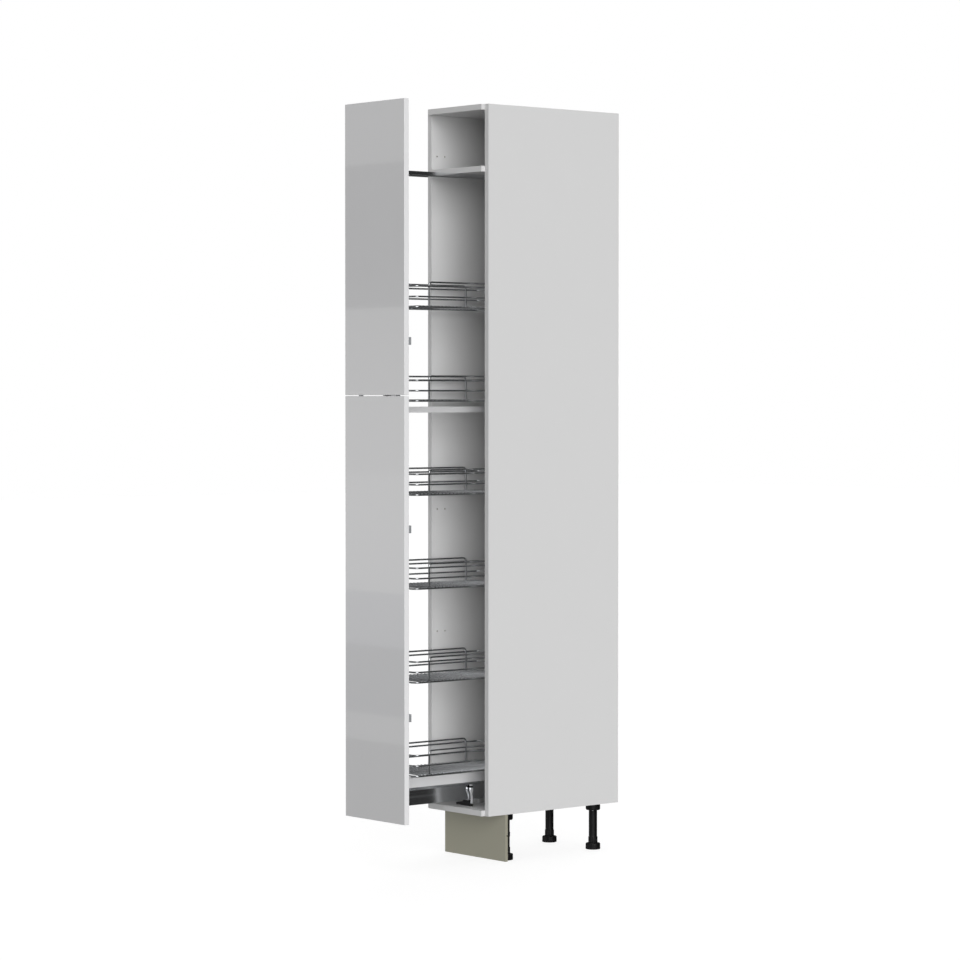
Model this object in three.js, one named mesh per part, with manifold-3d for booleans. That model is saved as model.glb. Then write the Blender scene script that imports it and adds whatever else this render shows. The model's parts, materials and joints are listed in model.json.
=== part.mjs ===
// A pull out larder unit: a tall, narrow carcass on adjustable legs. Its two door fronts, a steel
// frame and six wire baskets run out together on a floor runner and a top runner.
//
// Millimetres, +Z up, doors facing -Y, origin on the floor under the middle of the unit, which is
// drawn pulled out by PULLED_OUT. The sizes below are written in the carcass's frame: x from its
// middle, y back from the front edges of its sides, and z up from its underside.

import * as THREE from 'three';
import { mergeVertices } from 'three/addons/utils/BufferGeometryUtils.js';
import Module from 'manifold-3d';

const wasm = await Module();
wasm.setup();

// ---------------------------------------------------------------- driving dimensions

const FIT = 0.3; // clearance between pieces that slide in, pass through or hang on one another

// Carcass
const UNIT_WIDTH = 300;
const CARCASS_HEIGHT = 2235;
const SIDE_DEPTH = 552;
const BOARD = 18;
const PANEL_LIP = 14; // the lying panels stand proud of the sides' front edges
const NICHE_HEIGHT = 175; // clear height above the fixed shelf
const BACK_BOARD = 3;
const BACK_INSET = 18; // from the rear edges to the back board
const GROOVE_DEPTH = 8;
const PIN_HOLE = 5;
const PIN_HOLE_DEPTH = 12;
const PIN_SETBACK = 37; // first pin hole, behind the front of the lying panels
const PIN_SPACING = 32;
const PIN_ROWS = [567, 959]; // heights of the rows of pin holes behind the fronts
const NICHE_PIN_RISE = 45; // the row above the fixed shelf, from its top face

// Fronts
const DOOR_SIDE_GAP = 1.5; // fronts short of the carcass's outer faces, each side
const DOOR_BOARD = 18;
const DOOR_EDGE = 0.8; // bevel of the fronts' arrises
const DOOR_MARGIN = 2; // fronts short of the carcass's top and underside
const DOOR_JOINT = 3; // gap between the two fronts
const LOWER_DOOR_HEIGHT = 1320;
const CLOSED_GAP = 2; // between the lying panels and the closed fronts
const PULLED_OUT = 302; // how far the unit stands open as drawn

// Legs and plinth
const FLOOR_GAP = 150; // from the floor to the carcass's underside
const LEG_INSET = 25; // leg centres, from the inner faces of the sides
const FRONT_LEG_Y = 107;
const REAR_LEG_INSET = 71; // rear leg centres, from the rear edges
const LEG_FLANGE = 47;
const LEG_FLANGE_HEIGHT = 22;
const LEG_FLANGE_CHAMFER = 3;
const LEG_TUBE = 27;
const LEG_BORE = 17;
const LEG_COLLAR = 30;
const LEG_COLLAR_HEIGHT = 20;
const FOOT = 48;
const FOOT_HEIGHT = 20;
const FOOT_STEM_HEIGHT = 60;
const FOOT_CHAMFER = 3; // round the foot's upper rim
const KEY_NOTCH = 6; // notches in the foot's rim for an adjusting key
const KEY_NOTCH_DEPTH = 3;
const PLINTH_BOARD = 10;
const PLINTH_Y = 70;
const PLINTH_MARGIN = 1; // above and below the plinth
const PLINTH_GROOVE_Z = -68;
const PLINTH_GROOVE = 4;
const PLINTH_GROOVE_DEPTH = 5;
const CLIP_WALL = 1.8;
const CLIP_MOUTH = 120; // degrees of the clip's ring left open
const CLIP_HEIGHT = 14;
const CLIP_ARM = 12;
const CLIP_TONGUE = 30;

// Floor runner: a fixed rail, a middle member and a moving cover
const RUNNER_SEAT_RISE = 18; // from the bottom panel to the seat of the fixed rail
const RUNNER_RISE = 22; // from the bottom panel to the moving cover
const RUNNER_HEIGHT = 54;
const RUNNER_HALF_WIDTH = 20.5;
const RUNNER_STEP = 1.5; // the upper part of the moving cover is narrower by this, each side
const RUNNER_STEP_RISE = 22; // from the cover's underside to the step
const RUNNER_STEP_SLOPE = 7.5; // height in which the cover steps in
const RUNNER_WALL = 1.8;
const COVER_BEVEL = 4; // of the cover's upper corners, inwards and down
const COVER_BEVEL_DROP = 8;
const COVER_LIP = 4; // in-turned lips along the cover's underside
const MIDDLE_GAP = 2.4; // from the cover's walls to the middle member's
const MIDDLE_WALL = 1.5;
const RACE = 5; // height of a ball race, and of the slopes above and below it
const RACE_SLOPE = 2;
const HIGH_RACE_DROP = 9.5; // from the middle member's top to the middle of its upper race
const LOW_RACE_DROP = 12.5; // from the cover's step to the middle of the lower race
const RAIL_WEB = 6;
const RAIL_BEVEL = 3;
const RAIL_FOOT = 24;
const RAIL_FOOT_THICKNESS = 3;
const MOVING_SETBACK = 8; // from the backs of the fronts to the moving members
const MOVING_REAR_GAP = 24; // from the closed moving members to the back board
const MIDDLE_CLOSED_Y = 5;
const MIDDLE_REAR_GAP = 26; // from the closed middle members to the back board
const FIXED_RAIL_Y = 30;
const FIXED_RAIL_REAR_GAP = 7;

// Blocks that carry the floor runner
const FRONT_PLATE = 6; // thickness of the front block's ramped plate
const FRONT_SEAT_LENGTH = 18; // length of the narrower seat behind it
const RAMP_END = 46; // from the middle to the ramp's low end
const RAMP_LOW = 7.5; // heights of the ramp's two ends
const RAMP_HIGH = 13;
const SEAT_WIDTH = 28;
const REAR_BLOCK_LENGTH = 60;
const REAR_FLANGE_WIDTH = 68;
const REAR_FLANGE = 3;

// Top runner, under the fixed shelf
const TOP_RUNNER_HEIGHT = 15;
const TOP_RUNNER_GAP = 0.4; // from the shelf to the moving member
const TOP_RUNNER_HALF_WIDTH = 19;
const TOP_RUNNER_WALL = 1.5;
const TOP_COVER_BEVEL = 4;
const TOP_MIDDLE_WALL = 1.2;
const TOP_RAIL_HEAD = 8; // height of the fixed rail's head, which carries the middle member
const TOP_RAIL_BEVEL = 3;
const TOP_RAIL_NECK = 16;
const TOP_RAIL_FOOT = 28;
const TOP_RAIL_FOOT_THICKNESS = 1.6;
const TOP_RAIL_REAR_GAP = 31;

// Frame
const POST_WIDTH = 40;
const POST_DEPTH = 24;
const POST_WALL = 2;
const POST_RETURN = 8; // in-turned lips of the posts
const POST_SETBACK = 32; // from the backs of the fronts to the front post
const REAR_POST_INSET = 2.4; // from the rear ends of the moving members to the rear post
const FLOOR_RAIL_HEIGHT = 30;
const FLOOR_RAIL_WIDTH = 25;
const MID_RAIL_HEIGHT = 18.5;
const MID_RAIL_WIDTH = 20;
const MID_RAIL_BASKET = 5; // the basket that the mid rail passes under
const RAIL_TO_BASKET = 18; // from a rail up to the bottom wire of the basket above it
const FRAME_TUBE_WALL = 1.5;

// Baskets
const BASKET_COUNT = 6;
const TOP_BASKET_DROP = 408.5; // from the tops of the posts to the highest basket's bottom wire
const BASKET_SIDE_GAP = 22; // from the baskets to the carcass sides
const BASKET_CORNER = 20;
const RAIL_WIRE = 5.5;
const RAIL_HEIGHTS = [0, 32, 64.5]; // above the bottom wire
const GUARD_HEIGHT = 77;
const GUARD_INSET = 55; // from the basket's ends to the side guards
const GUARD_CORNER = 9;
const FLOOR_WIRE = 3;
const FLOOR_WIRE_COUNT = 28;
const HOOK_WIRE = 4;
const HOOK_SPREAD = 22; // between the two hooks at each end
const HOOK_TOP = 70;
const HOOK_DROP = 18;
const WELD = 1; // how far welded wires sink into each other

// Brackets between the frame and the fronts
const DOOR_BRACKET_ROWS = [325, 910, 1492];
const DOOR_BRACKET_HEIGHT = 24;
const DOOR_BRACKET_FOOT = 26;
const DOOR_BRACKET_GAP = 1; // from the brackets' feet to the carcass sides when closed
const STRAP = 2.5;
const END_BRACKET_HEIGHT = 48;
const JOINT_PLATE_INSET = 40; // plate centres, from the inner faces of the sides
const JOINT_PLATE_WIDTH = 20;
const JOINT_PLATE_HEIGHT = 60;
const JOINT_PLATE_CHAMFER = 3;
const BUFFER = 10;
const BUFFER_TAPER = 1; // less radius at the buffers' ends
const BUFFER_INSET = 22; // buffer centres, from the inner faces of the sides

// Front support of the floor runner
const CASTING_GAP = 3.5; // from the runner to the casting
const CASTING_THICKNESS = 7;
const CASTING_SEAT = 9; // where the casting stands, above the bottom panel
const CASTING_RISE = 60; // top of the casting, above the bottom panel
const CASTING_HEAD = 10; // depth of the casting's head
const CASTING_ROUND = 4; // rounding of the head's upper corners
const CASTING_Y = 31.5;
const WHEEL = 13;
const WHEEL_HEIGHT = 6;
const WHEEL_TEETH = 10;
const WHEEL_KNURL = 0.8;
const WHEEL_STUD = 5;
const STUD_HEAD = 12;
const STUD_HEAD_HEIGHT = 3;
const STUD_HEAD_CHAMFER = 1;

// Soft-close unit, left of the floor runner
const DAMPER_GAP = 5.5; // from the runner to the housing
const DAMPER_WIDTH = 28;
const DAMPER_HEIGHT = 28;
const DAMPER_LENGTH = 220;
const DAMPER_SLOT = 8;
const DAMPER_SLOT_LENGTH = 90;
const DAMPER_SLOT_DEPTH = 16;
const DAMPER_CHAMFER = 4;
const DAMPER_FRONT_Y = 110;
const CATCH_LENGTH = 8;
const CATCH_PIN = 4;
const CATCH_PIN_DROP = 12; // how far the pin reaches into the slot
const CATCH_RISE = 3; // from the housing up to the catch's arm
const CATCH_ARM = 4;
const CATCH_TAB = 12; // height of the tab on the moving cover

// ---------------------------------------------------------------- values worked out from them

const HALF_WIDTH = UNIT_WIDTH / 2;
const INNER_HALF = HALF_WIDTH - BOARD;
const BACK_FACE = SIDE_DEPTH - BACK_INSET - BACK_BOARD; // front face of the back board
const SHELF_TOP = CARCASS_HEIGHT - BOARD - NICHE_HEIGHT;
const SHELF_UNDERSIDE = SHELF_TOP - BOARD;
const DOOR_WIDTH = UNIT_WIDTH - 2 * DOOR_SIDE_GAP;
const DOOR_BACK = -PANEL_LIP - CLOSED_GAP - PULLED_OUT;
const DOOR_FRONT = DOOR_BACK - DOOR_BOARD;
const DOOR_JOINT_Z = DOOR_MARGIN + LOWER_DOOR_HEIGHT;
const RUNNER_SEAT = BOARD + RUNNER_SEAT_RISE;
const RUNNER_BOTTOM = BOARD + RUNNER_RISE;
const RUNNER_TOP = RUNNER_BOTTOM + RUNNER_HEIGHT;
const MOVING_Y = DOOR_BACK + MOVING_SETBACK;
const MOVING_END = BACK_FACE - MOVING_REAR_GAP - PULLED_OUT;
const MIDDLE_Y = MIDDLE_CLOSED_Y - PULLED_OUT / 2; // the middle members travel half as far
const MIDDLE_LENGTH = BACK_FACE - MIDDLE_REAR_GAP - MIDDLE_CLOSED_Y;
const FIXED_RAIL_END = BACK_FACE - FIXED_RAIL_REAR_GAP;
const CASTING_X = RUNNER_HALF_WIDTH + CASTING_GAP + CASTING_THICKNESS / 2;
const CASTING_TOP = BOARD + CASTING_RISE;
const DAMPER_X = -RUNNER_HALF_WIDTH - DAMPER_GAP - DAMPER_WIDTH / 2;
const TOP_RUNNER_TOP = SHELF_UNDERSIDE - TOP_RUNNER_GAP;
const TOP_RUNNER_BOTTOM = TOP_RUNNER_TOP - TOP_RUNNER_HEIGHT;
const POST_TOP = TOP_RUNNER_BOTTOM - STRAP;
const POST_FRONT = DOOR_BACK + POST_SETBACK;
const POST_REAR = POST_FRONT + POST_DEPTH;
const REAR_POST_Y = MOVING_END - REAR_POST_INSET - POST_DEPTH;
const BASKET_FRONT = POST_REAR + FIT;
const BASKET_LENGTH = REAR_POST_Y - FIT - BASKET_FRONT;
const BASKET_WIDTH = 2 * (INNER_HALF - BASKET_SIDE_GAP);
const LOWEST_BASKET = RUNNER_TOP + FLOOR_RAIL_HEIGHT + RAIL_TO_BASKET;
const BASKET_PITCH = (POST_TOP - TOP_BASKET_DROP - LOWEST_BASKET) / (BASKET_COUNT - 1);

// ---------------------------------------------------------------- finishes

const finish = (colour, roughness, metalness) =>
  new THREE.MeshStandardMaterial({ color: colour, roughness, metalness });

const melamine = finish(0xe4e4e2, 0.55, 0);
const hardboard = finish(0xdcdbd6, 0.7, 0);
const glossFront = finish(0xb9bbbe, 0.12, 0);
const plinthFoil = finish(0x8b897c, 0.45, 0);
const blackPlastic = finish(0x131314, 0.5, 0);
const greyPlastic = finish(0x6e7072, 0.5, 0);
const chrome = finish(0xc8cacc, 0.12, 1);
const darkChrome = finish(0x77797b, 0.15, 1);
const greyPaint = finish(0xc9cacb, 0.4, 0.2);
const zincPlate = finish(0x9a9c9e, 0.35, 1);
const softBuffer = finish(0xdedfe0, 0.6, 0);

// ---------------------------------------------------------------- shapes

const vector = (x, y, z) => new THREE.Vector3(x, y, z);

/** A closed geometry as a solid that can be cut and joined. */
function solid(geometry) {
  const bare = geometry.clone();
  bare.deleteAttribute('normal');
  bare.deleteAttribute('uv');
  const merged = mergeVertices(bare, 1e-4);
  return new wasm.Manifold(
    new wasm.Mesh({
      numProp: 3,
      vertProperties: new Float32Array(merged.attributes.position.array),
      triVerts: new Uint32Array(merged.index.array),
    }),
  );
}

/** A cut or joined solid as a geometry again. */
function geometryOf(shape) {
  const mesh = shape.getMesh();
  const geometry = new THREE.BufferGeometry();
  geometry.setAttribute('position', new THREE.BufferAttribute(mesh.vertProperties, 3));
  geometry.setIndex(new THREE.BufferAttribute(mesh.triVerts, 1));
  return geometry;
}

const join = (geometries) => geometries.map(solid).reduce((whole, piece) => whole.add(piece));
const cut = (body, tools) => tools.map(solid).reduce((whole, tool) => whole.subtract(tool), body);

/** A block between two opposite corners. */
function block([x0, y0, z0], [x1, y1, z1]) {
  const geometry = new THREE.BoxGeometry(x1 - x0, y1 - y0, z1 - z0);
  return geometry.translate((x0 + x1) / 2, (y0 + y1) / 2, (z0 + z1) / 2);
}

const outline = (points) => new THREE.Shape(points.map(([u, v]) => new THREE.Vector2(u, v)));

/** An (x, z) outline carried back along Y from y0. */
function alongY(shape, y0, length, curveSegments = 6) {
  const geometry = new THREE.ExtrudeGeometry(shape, { depth: length, bevelEnabled: false, curveSegments });
  return geometry.rotateX(Math.PI / 2).translate(0, y0 + length, 0);
}

/** An (x, y) outline carried up along Z from z0. */
function alongZ(shape, z0, length, curveSegments = 6) {
  const geometry = new THREE.ExtrudeGeometry(shape, { depth: length, bevelEnabled: false, curveSegments });
  return geometry.translate(0, 0, z0);
}

/** A (y, z) outline carried along X from x0. */
function alongX(shape, x0, length, curveSegments = 6) {
  const geometry = new THREE.ExtrudeGeometry(shape, { depth: length, bevelEnabled: false, curveSegments });
  const turn = new THREE.Matrix4().makeBasis(vector(0, 1, 0), vector(0, 0, 1), vector(1, 0, 0));
  return geometry.applyMatrix4(turn).translate(x0, 0, 0);
}

/** A profile of [radius, height] points spun round a vertical axis. */
function spun(profile, segments = 16) {
  const points = profile.map(([radius, height]) => new THREE.Vector2(radius, height));
  return new THREE.LatheGeometry(points, segments).rotateX(Math.PI / 2);
}

/** A profile drawn on its right half only, closed by its mirror image. */
function mirrored(half) {
  const other = half.filter(([x]) => x > 0).map(([x, z]) => [-x, z]);
  return outline([...half, ...other.reverse()]);
}

/**
 * A wire bent in one plane: a section whose flats lie a diameter apart, mitred at each point of
 * its path. A closed path joins its last point to its first.
 */
function wire(path, planeNormal, diameter, sides, closed = false) {
  const count = path.length;
  const radius = diameter / 2 / Math.cos(Math.PI / sides);
  const position = [];
  path.forEach((point, i) => {
    const before = path[closed ? (i + count - 1) % count : Math.max(i - 1, 0)];
    const after = path[closed ? (i + 1) % count : Math.min(i + 1, count - 1)];
    const into = point.clone().sub(i > 0 || closed ? before : after);
    const out = after.clone().sub(i < count - 1 || closed ? point : before);
    if (i === 0 && !closed) into.negate();
    const sideIn = vector(0, 0, 0).crossVectors(planeNormal, into).normalize();
    const sideOut = vector(0, 0, 0).crossVectors(planeNormal, out).normalize();
    const mitre = sideIn.clone().add(sideOut).divideScalar(1 + sideIn.dot(sideOut));
    for (let k = 0; k < sides; k++) {
      const angle = ((k + 0.5) / sides) * 2 * Math.PI;
      const corner = point
        .clone()
        .addScaledVector(mitre, radius * Math.cos(angle))
        .addScaledVector(planeNormal, radius * Math.sin(angle));
      position.push(corner.x, corner.y, corner.z);
    }
  });
  const index = [];
  for (let ring = 0; ring < (closed ? count : count - 1); ring++) {
    const next = (ring + 1) % count;
    for (let k = 0; k < sides; k++) {
      const a = ring * sides + k;
      const b = ring * sides + ((k + 1) % sides);
      const c = next * sides + k;
      const d = next * sides + ((k + 1) % sides);
      index.push(a, b, d, a, d, c);
    }
  }
  if (!closed) {
    const last = (count - 1) * sides;
    for (let k = 1; k < sides - 1; k++) {
      index.push(0, k + 1, k, last, last + k, last + k + 1);
    }
  }
  const geometry = new THREE.BufferGeometry();
  geometry.setAttribute('position', new THREE.Float32BufferAttribute(position, 3));
  geometry.setIndex(index);
  return geometry;
}

/** The points of a lying rectangle with round corners, centred on (0, middleY). */
function roundedRing(width, length, middleY, radius, z, steps) {
  const points = [];
  [[1, 1], [-1, 1], [-1, -1], [1, -1]].forEach(([sideX, sideY], quarter) => {
    for (let step = 0; step <= steps; step++) {
      const angle = ((quarter + step / steps) * Math.PI) / 2;
      points.push(
        vector(
          sideX * (width / 2 - radius) + radius * Math.cos(angle),
          middleY + sideY * (length / 2 - radius) + radius * Math.sin(angle),
          z,
        ),
      );
    }
  });
  return points;
}

// ---------------------------------------------------------------- the assembly

const unit = new THREE.Group();
unit.name = 'pull_out_larder_unit';
unit.position.set(0, -(DOOR_FRONT + SIDE_DEPTH) / 2, FLOOR_GAP);

function add(name, shape, material) {
  const geometry = shape.isBufferGeometry ? shape : geometryOf(shape);
  const mesh = new THREE.Mesh(geometry, material);
  mesh.name = name;
  unit.add(mesh);
  return mesh;
}

// ---------------------------------------------------------------- carcass

/** The groove for the back board, as a block that runs past the board it is cut in. */
function backGroove([x0, z0], [x1, z1]) {
  const slack = FIT / 2;
  return block([x0, BACK_FACE - slack, z0], [x1, BACK_FACE + BACK_BOARD + slack, z1]);
}

function sidePanel(name, side) {
  const outer = side * HALF_WIDTH;
  const inner = side * INNER_HALF;
  const panel = solid(
    block([Math.min(outer, inner), 0, 0], [Math.max(outer, inner), SIDE_DEPTH, CARCASS_HEIGHT]),
  );
  const deep = inner + side * GROOVE_DEPTH;
  const grooveEnds = BOARD - GROOVE_DEPTH;
  const groove = backGroove(
    [Math.min(inner - side, deep), grooveEnds],
    [Math.max(inner - side, deep), CARCASS_HEIGHT - grooveEnds],
  );
  const holes = [...PIN_ROWS, SHELF_TOP + NICHE_PIN_RISE].flatMap((height) =>
    [0, 1].map((column) => {
      const y = PIN_SETBACK - PANEL_LIP + column * PIN_SPACING;
      const drill = new THREE.CylinderGeometry(PIN_HOLE / 2, PIN_HOLE / 2, 2 * PIN_HOLE_DEPTH, 10);
      return drill.rotateZ(Math.PI / 2).translate(inner, y, height);
    }),
  );
  add(name, cut(panel, [groove, ...holes]), melamine);
}

function lyingPanel(name, underside, grooveSide) {
  const top = underside + BOARD;
  const low = grooveSide > 0 ? top - GROOVE_DEPTH : underside - 1;
  const high = grooveSide > 0 ? top + 1 : underside + GROOVE_DEPTH;
  const panel = solid(block([-INNER_HALF, -PANEL_LIP, underside], [INNER_HALF, SIDE_DEPTH, top]));
  add(name, cut(panel, [backGroove([-INNER_HALF - 1, low], [INNER_HALF + 1, high])]), melamine);
}

sidePanel('side_left', -1);
sidePanel('side_right', 1);
lyingPanel('bottom_panel', 0, 1);
lyingPanel('top_panel', CARCASS_HEIGHT - BOARD, -1);
add(
  'fixed_shelf',
  block([-INNER_HALF, -PANEL_LIP, SHELF_UNDERSIDE], [INNER_HALF, BACK_FACE - FIT, SHELF_TOP]),
  melamine,
);

const backReach = GROOVE_DEPTH - FIT;
add(
  'back_panel',
  block(
    [-INNER_HALF - backReach, BACK_FACE, BOARD - backReach],
    [INNER_HALF + backReach, BACK_FACE + BACK_BOARD, CARCASS_HEIGHT - BOARD + backReach],
  ),
  hardboard,
);

// ---------------------------------------------------------------- legs and plinth

/** A leg: flange, tube and collar in one moulding, bored from below for the foot's stem. */
function leg(name, x, y) {
  const collarBottom = -FLOOR_GAP + FOOT_HEIGHT + FIT;
  const collarTop = collarBottom + LEG_COLLAR_HEIGHT;
  const boreTop = -FLOOR_GAP + FOOT_HEIGHT + FOOT_STEM_HEIGHT + FIT;
  const tube = LEG_TUBE / 2;
  const profile = [
    [0, boreTop],
    [LEG_BORE / 2, boreTop],
    [LEG_BORE / 2, collarBottom],
    [LEG_COLLAR / 2, collarBottom],
    [LEG_COLLAR / 2, collarTop],
    [tube, collarTop + (LEG_COLLAR / 2 - tube)],
    [tube, -LEG_FLANGE_HEIGHT],
    [LEG_FLANGE / 2 - LEG_FLANGE_CHAMFER, -LEG_FLANGE_HEIGHT],
    [LEG_FLANGE / 2, -LEG_FLANGE_HEIGHT + LEG_FLANGE_CHAMFER],
    [LEG_FLANGE / 2, 0],
    [0, 0],
  ];
  add(name, spun(profile, 12).translate(x, y, 0), blackPlastic);
}

/** A foot: a disc with notches for a key, and the stem that screws up into the leg. */
function foot(name, x, y) {
  const disc = -FLOOR_GAP + FOOT_HEIGHT;
  const stem = LEG_BORE / 2 - FIT;
  const profile = [
    [0, -FLOOR_GAP],
    [FOOT / 2 - FOOT_CHAMFER / 2, -FLOOR_GAP],
    [FOOT / 2, -FLOOR_GAP + FOOT_CHAMFER / 2],
    [FOOT / 2, disc - FOOT_CHAMFER],
    [FOOT / 2 - FOOT_CHAMFER, disc],
    [stem, disc],
    [stem, disc + FOOT_STEM_HEIGHT],
    [0, disc + FOOT_STEM_HEIGHT],
  ];
  const notch = block(
    [FOOT / 2 - KEY_NOTCH_DEPTH, -KEY_NOTCH / 2, disc - FOOT_HEIGHT / 2 - FOOT_CHAMFER],
    [FOOT / 2 + 1, KEY_NOTCH / 2, disc + 1],
  );
  const notches = [0, 1, 2, 3].map((k) => notch.clone().rotateZ((k + 0.5) * (Math.PI / 2)));
  add(name, cut(solid(spun(profile, 12)), notches).translate([x, y, 0]), blackPlastic);
}

const legX = INNER_HALF - LEG_INSET;
for (const [row, y] of [['front', FRONT_LEG_Y], ['rear', SIDE_DEPTH - REAR_LEG_INSET]]) {
  for (const [hand, side] of [['left', -1], ['right', 1]]) {
    leg(`leg_${row}_${hand}`, side * legX, y);
    foot(`foot_${row}_${hand}`, side * legX, y);
  }
}

const plinthBack = PLINTH_Y + PLINTH_BOARD;
const grooveLow = PLINTH_GROOVE_Z - PLINTH_GROOVE / 2;
const grooveHigh = PLINTH_GROOVE_Z + PLINTH_GROOVE / 2;
const plinthProfile = outline([
  [PLINTH_Y, -FLOOR_GAP + PLINTH_MARGIN],
  [plinthBack, -FLOOR_GAP + PLINTH_MARGIN],
  [plinthBack, grooveLow],
  [plinthBack - PLINTH_GROOVE_DEPTH, grooveLow],
  [plinthBack - PLINTH_GROOVE_DEPTH, grooveHigh],
  [plinthBack, grooveHigh],
  [plinthBack, -PLINTH_MARGIN],
  [PLINTH_Y, -PLINTH_MARGIN],
]);
add('plinth_panel', alongX(plinthProfile, -HALF_WIDTH, UNIT_WIDTH), plinthFoil);

/** A clip that snaps round a front leg and holds the plinth by a tongue in its groove. */
function plinthClip(name, x) {
  const grip = LEG_TUBE / 2 + FIT;
  const rim = grip + CLIP_WALL;
  const mouth = THREE.MathUtils.degToRad(CLIP_MOUTH / 2);
  const ring = new THREE.Shape();
  ring.absarc(0, 0, rim, Math.PI / 2 + mouth, Math.PI / 2 - mouth + 2 * Math.PI, false);
  ring.absarc(0, 0, grip, Math.PI / 2 - mouth, Math.PI / 2 + mouth - 2 * Math.PI, true);
  const armFront = plinthBack + FIT - FRONT_LEG_Y;
  const tongueFront = plinthBack - PLINTH_GROOVE_DEPTH + FIT - FRONT_LEG_Y;
  const arm = CLIP_ARM / 2;
  const tongue = CLIP_TONGUE / 2;
  const tongueHalf = PLINTH_GROOVE / 2 - FIT;
  const clip = join([
    alongZ(ring, -CLIP_HEIGHT / 2, CLIP_HEIGHT, 8),
    block([-arm, armFront, -CLIP_HEIGHT / 2], [arm, -grip - CLIP_WALL / 3, CLIP_HEIGHT / 2]),
    block([-tongue, tongueFront, -tongueHalf], [tongue, armFront + CLIP_WALL, tongueHalf]),
  ]);
  add(name, clip.translate([x, FRONT_LEG_Y, PLINTH_GROOVE_Z]), blackPlastic);
}

plinthClip('plinth_clip_left', -legX);
plinthClip('plinth_clip_right', legX);

// ---------------------------------------------------------------- floor runner

const upperHalf = RUNNER_HALF_WIDTH - RUNNER_STEP;
const stepLow = RUNNER_BOTTOM + RUNNER_STEP_RISE;
const stepHigh = stepLow + RUNNER_STEP_SLOPE;
const bevelLow = RUNNER_TOP - COVER_BEVEL_DROP;
const innerShift = RUNNER_WALL / 3; // of the bevel's inner corners, which keeps its wall even

/** The moving cover: a folded channel, open below, with bevelled upper corners and stepped sides. */
const coverProfile = mirrored([
  [0, RUNNER_TOP],
  [upperHalf - COVER_BEVEL, RUNNER_TOP],
  [upperHalf, bevelLow],
  [upperHalf, stepHigh],
  [RUNNER_HALF_WIDTH, stepLow],
  [RUNNER_HALF_WIDTH, RUNNER_BOTTOM],
  [RUNNER_HALF_WIDTH - COVER_LIP, RUNNER_BOTTOM],
  [RUNNER_HALF_WIDTH - COVER_LIP, RUNNER_BOTTOM + RUNNER_WALL],
  [RUNNER_HALF_WIDTH - RUNNER_WALL, RUNNER_BOTTOM + RUNNER_WALL],
  [RUNNER_HALF_WIDTH - RUNNER_WALL, stepLow],
  [upperHalf - RUNNER_WALL, stepHigh],
  [upperHalf - RUNNER_WALL, bevelLow - innerShift],
  [upperHalf - COVER_BEVEL - innerShift, RUNNER_TOP - RUNNER_WALL],
  [0, RUNNER_TOP - RUNNER_WALL],
]);

const middleTop = RUNNER_TOP - RUNNER_WALL - 2 * FIT;
const middleHalf = upperHalf - RUNNER_WALL - MIDDLE_GAP;
const highRace = middleTop - HIGH_RACE_DROP;
const lowRace = stepLow - LOW_RACE_DROP;

/** A ball race as four points of an outline: out to reach and back, round the height of its middle. */
const race = (wall, reach, middle) => [
  [wall, middle + RACE / 2 + RACE_SLOPE],
  [reach, middle + RACE / 2],
  [reach, middle - RACE / 2],
  [wall, middle - RACE / 2 - RACE_SLOPE],
];

/** The middle member: a channel with a ball race along each side, above and below. */
const middleProfile = mirrored([
  [0, middleTop],
  [middleHalf - MIDDLE_WALL, middleTop],
  [middleHalf, middleTop - MIDDLE_WALL],
  ...race(middleHalf, upperHalf - RUNNER_WALL - FIT, highRace),
  ...race(middleHalf, RUNNER_HALF_WIDTH - RUNNER_WALL - FIT, lowRace),
  [middleHalf - MIDDLE_WALL, lowRace - RACE / 2 - RACE_SLOPE],
  [middleHalf - MIDDLE_WALL, middleTop - MIDDLE_WALL],
  [0, middleTop - MIDDLE_WALL],
]);

const railHalf = middleHalf - MIDDLE_WALL - FIT;
const railTop = middleTop - MIDDLE_WALL - 2 * FIT;
const footTop = RUNNER_SEAT + RAIL_FOOT_THICKNESS;

/** The fixed rail: a drawn section with a head, a lower race, a web and a foot. */
const railProfile = mirrored([
  [0, railTop],
  [railHalf - RAIL_BEVEL, railTop],
  ...race(RAIL_WEB / 2, railHalf, railTop - RAIL_BEVEL - RACE / 2).slice(1),
  ...race(RAIL_WEB / 2, railHalf, lowRace),
  [RAIL_WEB / 2, footTop],
  [RAIL_FOOT / 2, footTop],
  [RAIL_FOOT / 2, RUNNER_SEAT],
  [0, RUNNER_SEAT],
]);

add('floor_runner_rail', alongY(railProfile, FIXED_RAIL_Y, FIXED_RAIL_END - FIXED_RAIL_Y), zincPlate);
add('floor_runner_middle', alongY(middleProfile, MIDDLE_Y, MIDDLE_LENGTH), zincPlate);
add('floor_runner_cover', alongY(coverProfile, MOVING_Y, MOVING_END - MOVING_Y), darkChrome);

const castingBase = BOARD + CASTING_SEAT;
const castingOuter = CASTING_X + CASTING_THICKNESS / 2;
const blockShoulder = RUNNER_HALF_WIDTH + RUNNER_STEP;
const seatHalf = SEAT_WIDTH / 2;

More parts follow.
